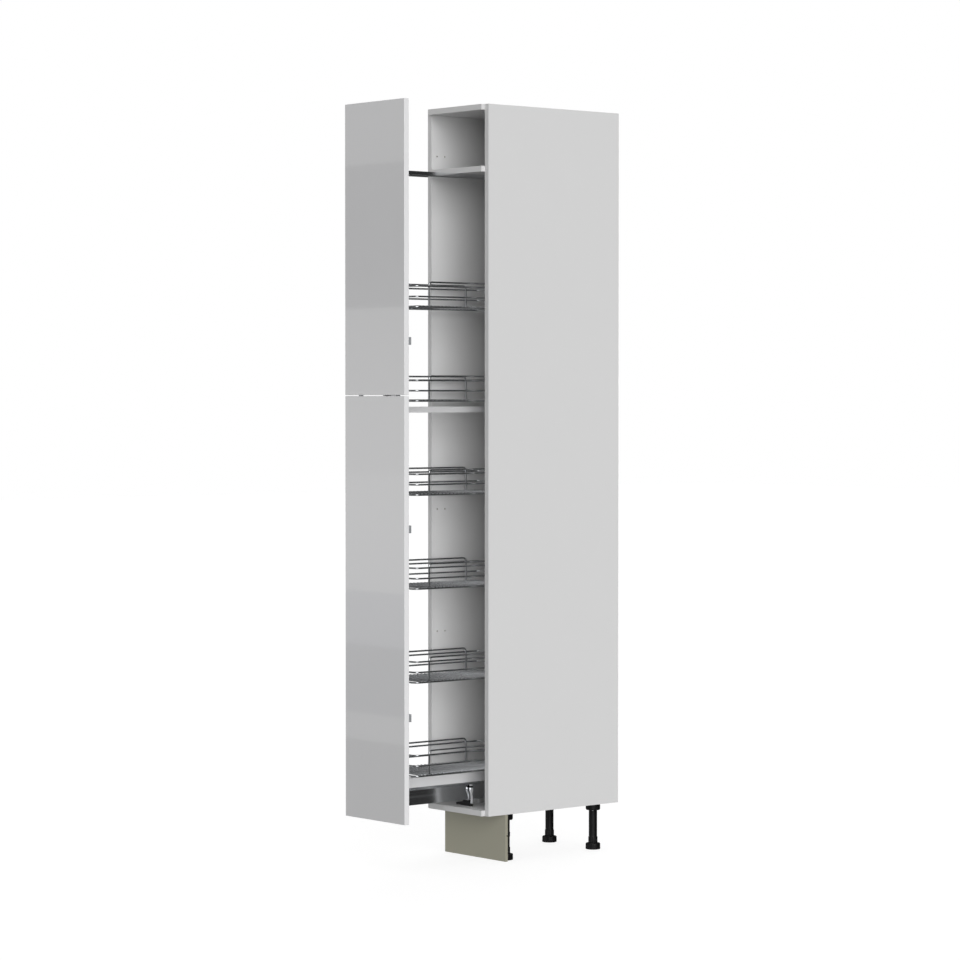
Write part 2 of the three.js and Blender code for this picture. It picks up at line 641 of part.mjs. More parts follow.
/** The front block's plate: a ramp that climbs from the left, the rail's seat and the casting's. */
const frontPlateProfile = outline([
  [-RAMP_END, BOARD],
  [castingOuter, BOARD],
  [castingOuter, castingBase],
  [blockShoulder, castingBase],
  [blockShoulder, RUNNER_SEAT],
  [-seatHalf / 2, RUNNER_SEAT],
  [-seatHalf, BOARD + RAMP_HIGH],
  [-RAMP_END, BOARD + RAMP_LOW],
]);
const frontSeat = [
  [-seatHalf, FIXED_RAIL_Y, BOARD],
  [seatHalf, FIXED_RAIL_Y + FRONT_SEAT_LENGTH, RUNNER_SEAT],
];
add(
  'runner_front_block',
  join([alongY(frontPlateProfile, FIXED_RAIL_Y, FRONT_PLATE), block(...frontSeat)]),
  blackPlastic,
);

const rearBlockProfile = mirrored([
  [0, RUNNER_SEAT],
  [seatHalf, RUNNER_SEAT],
  [seatHalf + REAR_FLANGE, BOARD + REAR_FLANGE],
  [REAR_FLANGE_WIDTH / 2, BOARD + REAR_FLANGE],
  [REAR_FLANGE_WIDTH / 2, BOARD],
  [0, BOARD],
]);
add(
  'runner_rear_block',
  alongY(rearBlockProfile, FIXED_RAIL_END - REAR_BLOCK_LENGTH, REAR_BLOCK_LENGTH),
  blackPlastic,
);

/**
 * The chrome casting beside the rail's front end: an S-shaped upright whose stud carries the wheel
 * under its head. Its curves are places before and behind its middle, at shares of its height.
 */
function frontCasting() {
  const height = CASTING_TOP - castingBase;
  const head = CASTING_HEAD / 2;
  const neck = 1 - CASTING_ROUND / height;
  const at = ([y, share]) => new THREE.Vector2(CASTING_Y + y, castingBase + share * height);
  const back = [[4.5, 0], [5, 0.33], [2.2, 0.6], [head, 0.85], [head, neck]].map(at);
  const front = [[-head, neck], [-head, 0.85], [-2, 0.6], [0.5, 0.33], [-0.5, 0]].map(at);
  const side = new THREE.Shape();
  side.moveTo(...back[0]);
  side.splineThru(back.slice(1));
  side.quadraticCurveTo(...at([head, 1]), ...at([head - CASTING_ROUND, 1]));
  side.lineTo(...at([CASTING_ROUND - head, 1]));
  side.quadraticCurveTo(...at([-head, 1]), ...front[0]);
  side.splineThru(front.slice(1));
  const upright = alongX(side, CASTING_X - CASTING_THICKNESS / 2, CASTING_THICKNESS, 2);
  const studTop = CASTING_TOP + WHEEL_HEIGHT + 2 * FIT;
  const stud = spun([
    [0, CASTING_TOP - CASTING_ROUND],
    [WHEEL_STUD / 2, CASTING_TOP - CASTING_ROUND],
    [WHEEL_STUD / 2, studTop],
    [STUD_HEAD / 2, studTop],
    [STUD_HEAD / 2, studTop + STUD_HEAD_HEIGHT - STUD_HEAD_CHAMFER],
    [STUD_HEAD / 2 - STUD_HEAD_CHAMFER, studTop + STUD_HEAD_HEIGHT],
    [0, studTop + STUD_HEAD_HEIGHT],
  ], 12);
  return join([upright, stud.translate(CASTING_X, CASTING_Y, 0)]);
}
add('runner_front_casting', frontCasting(), chrome);

/** The knurled wheel that sets the height of the runner's front end. */
function heightWheel() {
  const rim = new THREE.Shape();
  for (let k = 0; k < 2 * WHEEL_TEETH; k++) {
    const radius = WHEEL / 2 - (k % 2 ? WHEEL_KNURL : 0);
    const angle = (k / WHEEL_TEETH) * Math.PI;
    rim[k ? 'lineTo' : 'moveTo'](radius * Math.cos(angle), radius * Math.sin(angle));
  }
  const bore = new THREE.Path();
  bore.absarc(0, 0, WHEEL_STUD / 2 + FIT, 0, 2 * Math.PI, true);
  rim.holes.push(bore);
  return alongZ(rim, CASTING_TOP + FIT, WHEEL_HEIGHT, 6).translate(CASTING_X, CASTING_Y, 0);
}
add('height_wheel', heightWheel(), blackPlastic);

// ---------------------------------------------------------------- soft-close unit

const damperTop = BOARD + DAMPER_HEIGHT;

/** The housing, slotted from its front end for the catch. */
function damperHousing() {
  const half = DAMPER_WIDTH / 2;
  const profile = outline([
    [DAMPER_X - half, BOARD],
    [DAMPER_X + half, BOARD],
    [DAMPER_X + half, damperTop - DAMPER_CHAMFER],
    [DAMPER_X + half - DAMPER_CHAMFER, damperTop],
    [DAMPER_X - half + DAMPER_CHAMFER, damperTop],
    [DAMPER_X - half, damperTop - DAMPER_CHAMFER],
  ]);
  const slot = block(
    [DAMPER_X - DAMPER_SLOT / 2, DAMPER_FRONT_Y - 1, damperTop - DAMPER_SLOT_DEPTH],
    [DAMPER_X + DAMPER_SLOT / 2, DAMPER_FRONT_Y + DAMPER_SLOT_LENGTH, damperTop + 1],
  );
  return cut(solid(alongY(profile, DAMPER_FRONT_Y, DAMPER_LENGTH)), [slot]);
}
add('soft_close_housing', damperHousing(), greyPlastic);

const armLow = damperTop + CATCH_RISE;
const armHigh = armLow + CATCH_ARM;

/** The catch on the moving cover: an arm over the housing and a pin down into its slot. */
const catchOutline = outline([
  [-RUNNER_HALF_WIDTH, armLow],
  [-RUNNER_HALF_WIDTH, armLow + CATCH_TAB],
  [-RUNNER_HALF_WIDTH - CATCH_ARM, armLow + CATCH_TAB],
  [-RUNNER_HALF_WIDTH - CATCH_ARM, armHigh],
  [DAMPER_X - CATCH_PIN / 2, armHigh],
  [DAMPER_X - CATCH_PIN / 2, damperTop - CATCH_PIN_DROP],
  [DAMPER_X + CATCH_PIN / 2, damperTop - CATCH_PIN_DROP],
  [DAMPER_X + CATCH_PIN / 2, armLow],
]);
const catchY = DAMPER_FRONT_Y + 1.5 * CATCH_LENGTH - PULLED_OUT;
add('soft_close_catch', alongY(catchOutline, catchY, CATCH_LENGTH), zincPlate);

// ---------------------------------------------------------------- top runner

const topLip = TOP_RUNNER_HALF_WIDTH - 2 * TOP_RUNNER_WALL;
const topInnerBevel = TOP_COVER_BEVEL + 2 * FIT;

/** The moving channel of the top runner, open above, with bevelled lower corners. */
const topCoverProfile = mirrored([
  [0, TOP_RUNNER_BOTTOM],
  [TOP_RUNNER_HALF_WIDTH - TOP_COVER_BEVEL, TOP_RUNNER_BOTTOM],
  [TOP_RUNNER_HALF_WIDTH, TOP_RUNNER_BOTTOM + TOP_COVER_BEVEL],
  [TOP_RUNNER_HALF_WIDTH, TOP_RUNNER_TOP],
  [topLip, TOP_RUNNER_TOP],
  [topLip, TOP_RUNNER_TOP - TOP_RUNNER_WALL],
  [TOP_RUNNER_HALF_WIDTH - TOP_RUNNER_WALL, TOP_RUNNER_TOP - TOP_RUNNER_WALL],
  [TOP_RUNNER_HALF_WIDTH - TOP_RUNNER_WALL, TOP_RUNNER_BOTTOM + topInnerBevel],
  [TOP_RUNNER_HALF_WIDTH - topInnerBevel, TOP_RUNNER_BOTTOM + TOP_RUNNER_WALL],
  [0, TOP_RUNNER_BOTTOM + TOP_RUNNER_WALL],
]);

const topMiddleHalf = TOP_RUNNER_HALF_WIDTH - TOP_RUNNER_WALL - FIT;
const topMiddleBottom = TOP_RUNNER_BOTTOM + TOP_RUNNER_WALL + FIT;
const topMiddleTop = TOP_RUNNER_TOP - TOP_RUNNER_WALL - FIT;
const topMiddleBevel = topInnerBevel - TOP_MIDDLE_WALL;

/** The middle member of the top runner. */
const topMiddleProfile = mirrored([
  [0, topMiddleBottom],
  [topMiddleHalf - topMiddleBevel, topMiddleBottom],
  [topMiddleHalf, topMiddleBottom + topMiddleBevel],
  [topMiddleHalf, topMiddleTop],
  [topMiddleHalf - TOP_MIDDLE_WALL, topMiddleTop],
  [topMiddleHalf - TOP_MIDDLE_WALL, topMiddleBottom + topMiddleBevel + FIT],
  [topMiddleHalf - topMiddleBevel - FIT, topMiddleBottom + TOP_MIDDLE_WALL],
  [0, topMiddleBottom + TOP_MIDDLE_WALL],
]);

const topRailHalf = topMiddleHalf - TOP_MIDDLE_WALL - FIT;
const topRailBottom = topMiddleBottom + TOP_MIDDLE_WALL + FIT;
const topRailHeadTop = topRailBottom + TOP_RAIL_HEAD;

/** The rail screwed to the underside of the fixed shelf. */
const topRailProfile = mirrored([
  [0, topRailBottom],
  [topRailHalf - TOP_RAIL_BEVEL, topRailBottom],
  [topRailHalf, topRailBottom + TOP_RAIL_BEVEL],
  [topRailHalf, topRailHeadTop - TOP_RAIL_BEVEL],
  [topRailHalf - TOP_RAIL_BEVEL, topRailHeadTop],
  [TOP_RAIL_NECK / 2, topRailHeadTop],
  [TOP_RAIL_NECK / 2, SHELF_UNDERSIDE - TOP_RAIL_FOOT_THICKNESS],
  [TOP_RAIL_FOOT / 2, SHELF_UNDERSIDE - TOP_RAIL_FOOT_THICKNESS],
  [TOP_RAIL_FOOT / 2, SHELF_UNDERSIDE],
  [0, SHELF_UNDERSIDE],
]);

add('top_runner_rail', alongY(topRailProfile, 0, BACK_FACE - TOP_RAIL_REAR_GAP), zincPlate);
add('top_runner_middle', alongY(topMiddleProfile, MIDDLE_Y, MIDDLE_LENGTH), zincPlate);
add('top_runner_cover', alongY(topCoverProfile, MOVING_Y, MOVING_END - MOVING_Y), darkChrome);

// ---------------------------------------------------------------- frame

const basketHeights = Array.from({ length: BASKET_COUNT }, (_, k) => LOWEST_BASKET + k * BASKET_PITCH);

/** A post: a lipped channel whose web faces the baskets and is slotted for their hooks. */
function post(name, webY, facing) {
  const half = POST_WIDTH / 2;
  const wall = POST_WALL;
  const at = (x, depth) => [x, webY - facing * depth];
  const points = [
    at(-half, 0),
    at(half, 0),
    at(half, POST_DEPTH),
    at(half - POST_RETURN, POST_DEPTH),
    at(half - POST_RETURN, POST_DEPTH - wall),
    at(half - wall, POST_DEPTH - wall),
    at(half - wall, wall),
    at(-half + wall, wall),
    at(-half + wall, POST_DEPTH - wall),
    at(-half + POST_RETURN, POST_DEPTH - wall),
    at(-half + POST_RETURN, POST_DEPTH),
    at(-half, POST_DEPTH),
  ];
  const reach = HOOK_WIRE / 2 + FIT;
  const through = wall + 1;
  const slots = basketHeights.flatMap((height) =>
    [-1, 1].map((side) => {
      const x = (side * HOOK_SPREAD) / 2;
      const low = height + HOOK_TOP - reach;
      const high = low + HOOK_DROP + 2 * HOOK_WIRE;
      return block([x - reach, webY - through, low], [x + reach, webY + through, high]);
    }),
  );
  const channel = alongZ(outline(points), RUNNER_TOP, POST_TOP - RUNNER_TOP);
  add(name, cut(solid(channel), slots), greyPaint);
}

post('front_post', POST_REAR, 1);
post('rear_post', REAR_POST_Y, -1);

/** A rectangular tube between the two posts. */
function frameRail(name, width, low, height) {
  const tube = outline([
    [-width / 2, low],
    [width / 2, low],
    [width / 2, low + height],
    [-width / 2, low + height],
  ]);
  tube.holes.push(
    new THREE.Path([
      new THREE.Vector2(-width / 2 + FRAME_TUBE_WALL, low + FRAME_TUBE_WALL),
      new THREE.Vector2(-width / 2 + FRAME_TUBE_WALL, low + height - FRAME_TUBE_WALL),
      new THREE.Vector2(width / 2 - FRAME_TUBE_WALL, low + height - FRAME_TUBE_WALL),
      new THREE.Vector2(width / 2 - FRAME_TUBE_WALL, low + FRAME_TUBE_WALL),
    ]),
  );
  add(name, alongY(tube, POST_REAR, REAR_POST_Y - POST_REAR), greyPaint);
}

frameRail('floor_rail', FLOOR_RAIL_WIDTH, RUNNER_TOP, FLOOR_RAIL_HEIGHT);
const midRailTop = basketHeights[MID_RAIL_BASKET - 1] - RAIL_TO_BASKET;
frameRail('mid_rail', MID_RAIL_WIDTH, midRailTop - MID_RAIL_HEIGHT, MID_RAIL_HEIGHT);

// ---------------------------------------------------------------- brackets and fronts

/** A folded strap from the side of the front post out to the back of the door. */
function doorBracket(name, side, height) {
  const inner = POST_WIDTH / 2;
  const front = POST_FRONT + 1; // of the flange on the post's side
  const back = POST_REAR - POST_DEPTH / 2;
  const outer = INNER_HALF - DOOR_BRACKET_GAP;
  const reach = outer - DOOR_BRACKET_FOOT;
  const points = [
    [inner, front],
    [inner + STRAP, front],
    [inner + STRAP, back - STRAP],
    [reach - STRAP, back - STRAP],
    [reach - STRAP, DOOR_BACK],
    [outer, DOOR_BACK],
    [outer, DOOR_BACK + STRAP],
    [reach, DOOR_BACK + STRAP],
    [reach, back],
    [inner, back],
  ].map(([x, y]) => [side * x, y]);
  const strap = outline(side > 0 ? points : points.reverse());
  add(name, alongZ(strap, height - DOOR_BRACKET_HEIGHT / 2, DOOR_BRACKET_HEIGHT), zincPlate);
}

DOOR_BRACKET_ROWS.forEach((height, row) => {
  doorBracket(`door_bracket_left_${row + 1}`, -1, height);
  doorBracket(`door_bracket_right_${row + 1}`, 1, height);
});

/** An angle between a moving runner's front end and the back of the door. */
function endBracket(name, seat, up, reach) {
  const points = [
    [DOOR_BACK, seat],
    [reach, seat],
    [reach, seat + up * STRAP],
    [DOOR_BACK + STRAP, seat + up * STRAP],
    [DOOR_BACK + STRAP, seat + up * END_BRACKET_HEIGHT],
    [DOOR_BACK, seat + up * END_BRACKET_HEIGHT],
  ];
  const angle = outline(up > 0 ? points : points.reverse());
  const half = upperHalf - COVER_BEVEL;
  add(name, alongX(angle, -half, 2 * half), zincPlate);
}

endBracket('floor_door_bracket', RUNNER_TOP, 1, POST_FRONT - FIT);
endBracket('top_door_bracket', TOP_RUNNER_BOTTOM, -1, POST_REAR);

/** A door front: a board with finely bevelled arrises. */
function doorFront(name, low, high) {
  const half = DOOR_WIDTH / 2 - DOOR_EDGE;
  const face = outline([
    [-half, low + DOOR_EDGE],
    [half, low + DOOR_EDGE],
    [half, high - DOOR_EDGE],
    [-half, high - DOOR_EDGE],
  ]);
  const geometry = new THREE.ExtrudeGeometry(face, {
    depth: DOOR_BOARD - 2 * DOOR_EDGE,
    bevelEnabled: true,
    bevelThickness: DOOR_EDGE,
    bevelSize: DOOR_EDGE,
    bevelSegments: 1,
  });
  add(name, geometry.rotateX(Math.PI / 2).translate(0, DOOR_BACK - DOOR_EDGE, 0), glossFront);
}

doorFront('door_lower', DOOR_MARGIN, DOOR_JOINT_Z);
doorFront('door_upper', DOOR_JOINT_Z + DOOR_JOINT, CARCASS_HEIGHT - DOOR_MARGIN);

for (const [hand, side] of [['left', -1], ['right', 1]]) {
  const x = side * (INNER_HALF - JOINT_PLATE_INSET);
  const middle = DOOR_JOINT_Z + DOOR_JOINT / 2;
  const halfWidth = JOINT_PLATE_WIDTH / 2;
  const halfHeight = JOINT_PLATE_HEIGHT / 2;
  const plate = outline([
    [x - halfWidth + JOINT_PLATE_CHAMFER, middle - halfHeight],
    [x + halfWidth - JOINT_PLATE_CHAMFER, middle - halfHeight],
    [x + halfWidth, middle - halfHeight + JOINT_PLATE_CHAMFER],
    [x + halfWidth, middle + halfHeight - JOINT_PLATE_CHAMFER],
    [x + halfWidth - JOINT_PLATE_CHAMFER, middle + halfHeight],
    [x - halfWidth + JOINT_PLATE_CHAMFER, middle + halfHeight],
    [x - halfWidth, middle + halfHeight - JOINT_PLATE_CHAMFER],
    [x - halfWidth, middle - halfHeight + JOINT_PLATE_CHAMFER],
  ]);
  add(`door_joint_plate_${hand}`, alongY(plate, DOOR_BACK, STRAP), zincPlate);
  for (const [level, z] of [['bottom', BOARD / 2], ['top', CARCASS_HEIGHT - BOARD / 2]]) {
    const pad = new THREE.CylinderGeometry(BUFFER / 2 - BUFFER_TAPER, BUFFER / 2, CLOSED_GAP - FIT, 12);
    pad.translate(side * (INNER_HALF - BUFFER_INSET), DOOR_BACK + (CLOSED_GAP - FIT) / 2, z);
    add(`door_buffer_${level}_${hand}`, pad, softBuffer);
  }
}

// ---------------------------------------------------------------- baskets

const basketMiddleY = BASKET_FRONT + BASKET_LENGTH / 2;
const ringWidth = BASKET_WIDTH - RAIL_WIRE;
const ringLength = BASKET_LENGTH - RAIL_WIRE;
const upward = vector(0, 0, 1);
const sideways = vector(1, 0, 0);

/** The three rings that run round a basket. */
function basketRings() {
  return RAIL_HEIGHTS.map((height) => {
    const ring = roundedRing(ringWidth, ringLength, basketMiddleY, BASKET_CORNER, height, 2);
    return wire(ring, upward, RAIL_WIRE, 6, true);
  });
}

/** The raised guard along one side, bent down at both ends to the bottom ring. */
function sideGuard(side) {
  const x = side * (ringWidth / 2 - RAIL_WIRE + WELD);
  const front = BASKET_FRONT + GUARD_INSET;
  const rear = BASKET_FRONT + BASKET_LENGTH - GUARD_INSET;
  const bend = (y, direction, from) =>
    [0, 1, 2].map((step) => {
      const angle = from + (step * Math.PI) / 4;
      return vector(
        x,
        y + direction * GUARD_CORNER * (1 - Math.cos(angle)),
        GUARD_HEIGHT - GUARD_CORNER * (1 - Math.sin(angle)),
      );
    });
  const path = [
    vector(x, front, 0),
    ...bend(front, 1, 0),
    ...bend(rear, -1, 0).reverse(),
    vector(x, rear, 0),
  ];
  return wire(path, sideways, RAIL_WIRE, 6);
}

/** The floor: straight wires welded between the long sides of the bottom ring. */
function basketFloor() {
  const reach = ringWidth / 2;
  const first = BASKET_FRONT + BASKET_CORNER;
  const pitch = (BASKET_LENGTH - 2 * BASKET_CORNER) / (FLOOR_WIRE_COUNT - 1);
  return Array.from({ length: FLOOR_WIRE_COUNT }, (_, k) =>
    wire([vector(-reach, first + k * pitch, 0), vector(reach, first + k * pitch, 0)], upward, FLOOR_WIRE, 4),
  );
}

/** A hook wire: up the inside of one end, over the top ring, through the post's slot and down. */
function basketHook(end, side) {
  const x = (side * HOOK_SPREAD) / 2;
  const ringY = basketMiddleY + (end * ringLength) / 2;
  const web = end < 0 ? POST_REAR : REAR_POST_Y;
  const inside = ringY - end * (RAIL_WIRE / 2 + HOOK_WIRE / 2 - WELD);
  const behind = web + end * (POST_WALL + HOOK_WIRE / 2 + FIT);
  const path = [
    vector(x, inside, 0),
    vector(x, inside, HOOK_TOP),
    vector(x, behind, HOOK_TOP),
    vector(x, behind, HOOK_TOP - HOOK_DROP),
  ];
  return wire(path, sideways, HOOK_WIRE, 4);
}

const basketSolid = join([
  ...basketRings(),
  sideGuard(-1),
  sideGuard(1),
  ...basketFloor(),
  basketHook(-1, -1),
  basketHook(-1, 1),
  basketHook(1, -1),
  basketHook(1, 1),
]);
basketHeights.forEach((height, k) => {
  add(`basket_${k + 1}`, basketSolid.translate([0, 0, height]), chrome);
});

export default unit;
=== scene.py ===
"""Fine shapes, finishes, light and camera for a pull out larder unit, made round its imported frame.

Everything is in metres, in the frame's own place: the fronts face -Y, the floor is at Z = 0, and
the unit stands pulled out. Each piece takes its place and its main sizes from the frame's nodes.
"""

import json
import math

import bmesh
import bpy
from mathutils import Matrix, Vector

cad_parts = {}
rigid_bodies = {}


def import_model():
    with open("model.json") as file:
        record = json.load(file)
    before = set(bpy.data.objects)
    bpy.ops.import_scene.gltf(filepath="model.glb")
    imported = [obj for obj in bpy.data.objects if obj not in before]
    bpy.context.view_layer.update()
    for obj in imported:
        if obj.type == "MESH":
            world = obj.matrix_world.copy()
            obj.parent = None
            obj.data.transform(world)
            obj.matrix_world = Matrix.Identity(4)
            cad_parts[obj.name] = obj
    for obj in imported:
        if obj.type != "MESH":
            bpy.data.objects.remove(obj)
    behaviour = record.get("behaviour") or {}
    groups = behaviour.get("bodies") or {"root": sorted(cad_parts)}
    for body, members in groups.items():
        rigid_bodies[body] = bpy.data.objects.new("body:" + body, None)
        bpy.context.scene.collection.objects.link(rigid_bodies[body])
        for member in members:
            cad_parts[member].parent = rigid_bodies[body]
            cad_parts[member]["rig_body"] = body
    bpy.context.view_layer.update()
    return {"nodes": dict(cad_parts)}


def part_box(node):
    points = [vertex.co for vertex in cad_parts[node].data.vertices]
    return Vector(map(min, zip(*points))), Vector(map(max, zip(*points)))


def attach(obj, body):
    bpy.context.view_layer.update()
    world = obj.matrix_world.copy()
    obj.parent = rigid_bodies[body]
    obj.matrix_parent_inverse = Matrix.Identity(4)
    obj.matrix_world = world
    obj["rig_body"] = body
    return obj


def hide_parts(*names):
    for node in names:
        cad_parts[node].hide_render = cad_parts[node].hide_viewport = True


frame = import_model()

bl_info = {
    "name": "Pull Out Larder Unit",
    "version": (1, 0, 0),
    "blender": (4, 5, 0),
    "location": "3D View > Sidebar > Larder",
    "description": "Makes the boards, fronts, runners and wire baskets of a pull out larder unit",
    "category": "Object",
}

MM = 0.001
X_AXIS = Vector((1, 0, 0))
Y_AXIS = Vector((0, 1, 0))
Z_AXIS = Vector((0, 0, 1))
QUARTER = math.pi / 2

MERGE_DISTANCE = 0.005 * MM  # corners nearer than this are one corner
FLAT_ANGLE = math.radians(1)  # faces that meet at less are one flat face
ARRIS_ANGLE = math.radians(24)  # edges that are sharper than this get rounded
BEND_ANGLE = math.radians(8)  # the same on the runners' covers, which have shallow bends
SMOOTH_ANGLE = math.radians(48)  # edges that are blunter than this are shaded as one surface
FACING = 0.9  # cosine from which a face counts as facing along an axis


# ------------------------ settings


def linear(hex_colour):
    """An sRGB colour such as "#CECECD" as linear red, green and blue."""
    channels = (int(hex_colour[i : i + 2], 16) / 255 for i in (1, 3, 5))
    return tuple(c / 12.92 if c <= 0.04045 else ((c + 0.055) / 1.055) ** 2.4 for c in channels)


def length_setting(name, description, default):
    """A length in the sidebar."""
    return bpy.props.FloatProperty(
        name=name, description=description, default=default, unit="LENGTH", precision=5
    )


def colour_setting(name, description, hex_colour):
    """A colour in the sidebar."""
    return bpy.props.FloatVectorProperty(
        name=name,
        description=description,
        default=linear(hex_colour),
        subtype="COLOR",
        size=3,
        min=0,
        max=1,
    )


def brightness_setting(name, description, default):
    """A lamp's brightness in the sidebar."""
    return bpy.props.FloatProperty(name=name, description=description, default=default, min=0)


class LarderSizes(bpy.types.PropertyGroup):
    """Sizes of what the frame leaves to the finish."""

    board_arris: length_setting("Board arris", "Radius of the carcass boards' edges", 0.8 * MM)
    front_arris: length_setting("Front arris", "Radius of the fronts' edges", 1.4 * MM)
    metal_arris: length_setting("Metal arris", "Radius of the sheet steel's edges", 0.3 * MM)
    plastic_arris: length_setting("Plastic arris", "Radius of the moulded parts' edges", 0.5 * MM)
    cast_arris: length_setting("Casting arris", "Radius of the front casting's edges", 1.1 * MM)
    rail_wire: length_setting("Rail wire", "Diameter of the baskets' rings and guards", 5.5 * MM)
    floor_wire: length_setting("Floor wire", "Diameter of the baskets' floor wires", 3 * MM)
    floor_wires: bpy.props.IntProperty(
        name="Floor wires",
        description="How many wires a basket's floor has",
        default=28,
        min=4,
        max=60,
    )
    hook_wire: length_setting("Hook wire", "Diameter of the wires that hook into the posts", 4 * MM)
    ring_corner: length_setting("Ring corner", "Radius of the baskets' corners", 20 * MM)
    guard_corner: length_setting("Guard corner", "Radius of the side guards' bends", 12 * MM)
    screw_head: length_setting("Screw head", "Diameter of the pan-head screws", 7 * MM)


class LarderColours(bpy.types.PropertyGroup):
    """Colours of the unit's finishes."""

    melamine: colour_setting("Melamine", "Faces of the carcass boards", "#CECECE")
    banding: colour_setting("Banding", "Front edges of the carcass boards", "#C8C8C8")
    edging: colour_setting("Front edging", "Edges of the two fronts", "#DCDCDD")
    lacquer: colour_setting("Fronts", "Gloss lacquer of the two fronts", "#CFCFD0")
    plinth: colour_setting("Plinth", "Foil of the plinth", "#A09E8E")
    plinth_end: colour_setting("Plinth ends", "Banding on the plinth's ends", "#949283")
    plastic: colour_setting("Moulded black", "Legs, clips and blocks", "#0C0C0D")
    paint: colour_setting("Powder coat", "Posts and rails of the frame", "#D2D2D3")
    chrome: colour_setting("Chrome", "Wire baskets", "#C4C6C8")
    casting: colour_setting("Casting", "Front casting of the floor runner", "#E6E7E9")
    runner: colour_setting("Runner", "Covers of the runners", "#EAECEE")


class LarderLight(bpy.types.PropertyGroup):
    """The studio: how bright each side of the unit is lit."""

    fill: brightness_setting("Fill", "Even light from all round", 0.345)
    key: brightness_setting("Key", "Soft light from the right and a little from the front", 0.8)
    top: brightness_setting("Top", "Soft light from above", 0.17)
    back: brightness_setting("Back", "Soft light from behind, on the left", 0.5)


# ------------------------ modelling


def new_object(name, bm, materials):
    """Puts the mesh into the scene as an object of those materials, and frees it."""
    mesh = bpy.data.meshes.new(name)
    bm.to_mesh(mesh)
    bm.free()
    for material in materials:
        mesh.materials.append(material)
    made = bpy.data.objects.new(name, mesh)
    bpy.context.scene.collection.objects.link(made)
    return made


def new_piece(name, bm, finishes, body):
    """Makes the mesh a piece with those finishes, smooth over blunt edges, that rides on a body."""
    piece = new_object(name, bm, [finish_of(make) for make in finishes])
    piece.data.shade_smooth()
    piece.data.set_sharp_from_angle(angle=SMOOTH_ANGLE)
    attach(piece, body)
    return piece


def as_piece(name, bm, finishes, node):
    """Makes the mesh a piece that stands for a CAD node and rides with it."""
    piece = new_piece(name, bm, finishes, frame["nodes"][node]["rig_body"])
    flats = piece.modifiers.new("Flat faces stay flat", "WEIGHTED_NORMAL")
    flats.keep_sharp = True
    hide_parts(node)


def rounded(bm, edges, radius, segments):
    """Rounds those edges."""
    bmesh.ops.bevel(
        bm,
        geom=edges,
        offset=radius,
        segments=segments,
        profile=0.5,
        affect="EDGES",
        clamp_overlap=True,
        material=-1,
    )


def softened(node, arris, sharper=ARRIS_ANGLE):
    """A merged copy of a CAD node, its sharp edges rounded as tools and moulds leave them."""
    bm = bmesh.new()
    bm.from_mesh(frame["nodes"][node].data)
    bmesh.ops.remove_doubles(bm, verts=bm.verts, dist=MERGE_DISTANCE)
    bmesh.ops.dissolve_limit(bm, angle_limit=FLAT_ANGLE, verts=bm.verts, edges=bm.edges)
    sharp = [e for e in bm.edges if e.is_manifold and e.calc_face_angle() > sharper]
    rounded(bm, sharp, arris, 2)
    return bm


def rim_edges(verts):
    """The edges between verts of one ring."""
    ring = set(verts)
    return list({e for v in ring for e in v.link_edges if e.other_vert(v) in ring})


def ring_in(geometry):
    """The verts in an operator's result, and the edges between them."""
    verts = [g for g in geometry if isinstance(g, bmesh.types.BMVert)]
    return verts, rim_edges(verts)


def pushed_out(bm, edges):
    """Extrudes a ring of edges, and returns the new ring's verts and edges."""
    return ring_in(bmesh.ops.extrude_edge_only(bm, edges=edges)["geom"])


def bend_wire(bm, start, heading, pivot, diameter, moves, sides=12, steps=6):
    """Feeds a round wire from start along heading and bends it about pivot, as a wire bender does.

    A move is a length to feed, then a bend's radius and its angle. A wire that comes back to its
    start closes on itself, and any other gets flat ends.
    """
    turn = Z_AXIS.rotation_difference(heading).to_matrix().to_4x4()
    place = start.copy()
    heading = heading.copy()
    verts = bmesh.ops.create_circle(
        bm, segments=sides, radius=diameter / 2, matrix=Matrix.Translation(start) @ turn
    )["verts"]
    first = edges = rim_edges(verts)
    for feed, radius, angle in moves:
        if feed:
            verts, edges = pushed_out(bm, edges)
            bmesh.ops.translate(bm, verts=verts, vec=heading * feed)
            place += heading * feed
        if angle:
            centre = place + pivot.cross(heading) * math.copysign(radius, angle)
            bend = {"cent": centre, "axis": pivot, "angle": angle, "steps": steps}
            spun = bmesh.ops.spin(bm, geom=[*verts, *edges], use_duplicate=False, **bend)
            verts, edges = ring_in(spun["geom_last"])
            bent = Matrix.Rotation(angle, 3, pivot)
            place = centre + bent @ (place - centre)
            heading = bent @ heading
    if (place - start).length > diameter:
        bmesh.ops.edgeloop_fill(bm, edges=first)
        bmesh.ops.edgeloop_fill(bm, edges=edges)


def turned(bm, centre, rings, segments=48, drawn_in=lambda angle: False):
    """Builds a turned solid up from rings of (radius, height, notch), capped at both ends.

    Where drawn_in says so of an angle round the axis, the ring's radius is smaller by its notch.
    """
    verts = bmesh.ops.create_circle(bm, segments=segments, radius=1)["verts"]
    angles = {v: math.atan2(v.co.y, v.co.x) for v in verts}
    first = edges = rim_edges(verts)
    for number, (radius, height, notch) in enumerate(rings):
        if number:
            verts, edges = pushed_out(bm, edges)
            angles = {v: math.atan2(v.co.y - centre.y, v.co.x - centre.x) for v in verts}
        for v in verts:
            reach = radius - notch if drawn_in(angles[v]) else radius
            x, y = reach * math.cos(angles[v]), reach * math.sin(angles[v])
            v.co = centre + Vector((x, y, height))
    bmesh.ops.edgeloop_fill(bm, edges=first)
    bmesh.ops.edgeloop_fill(bm, edges=edges)


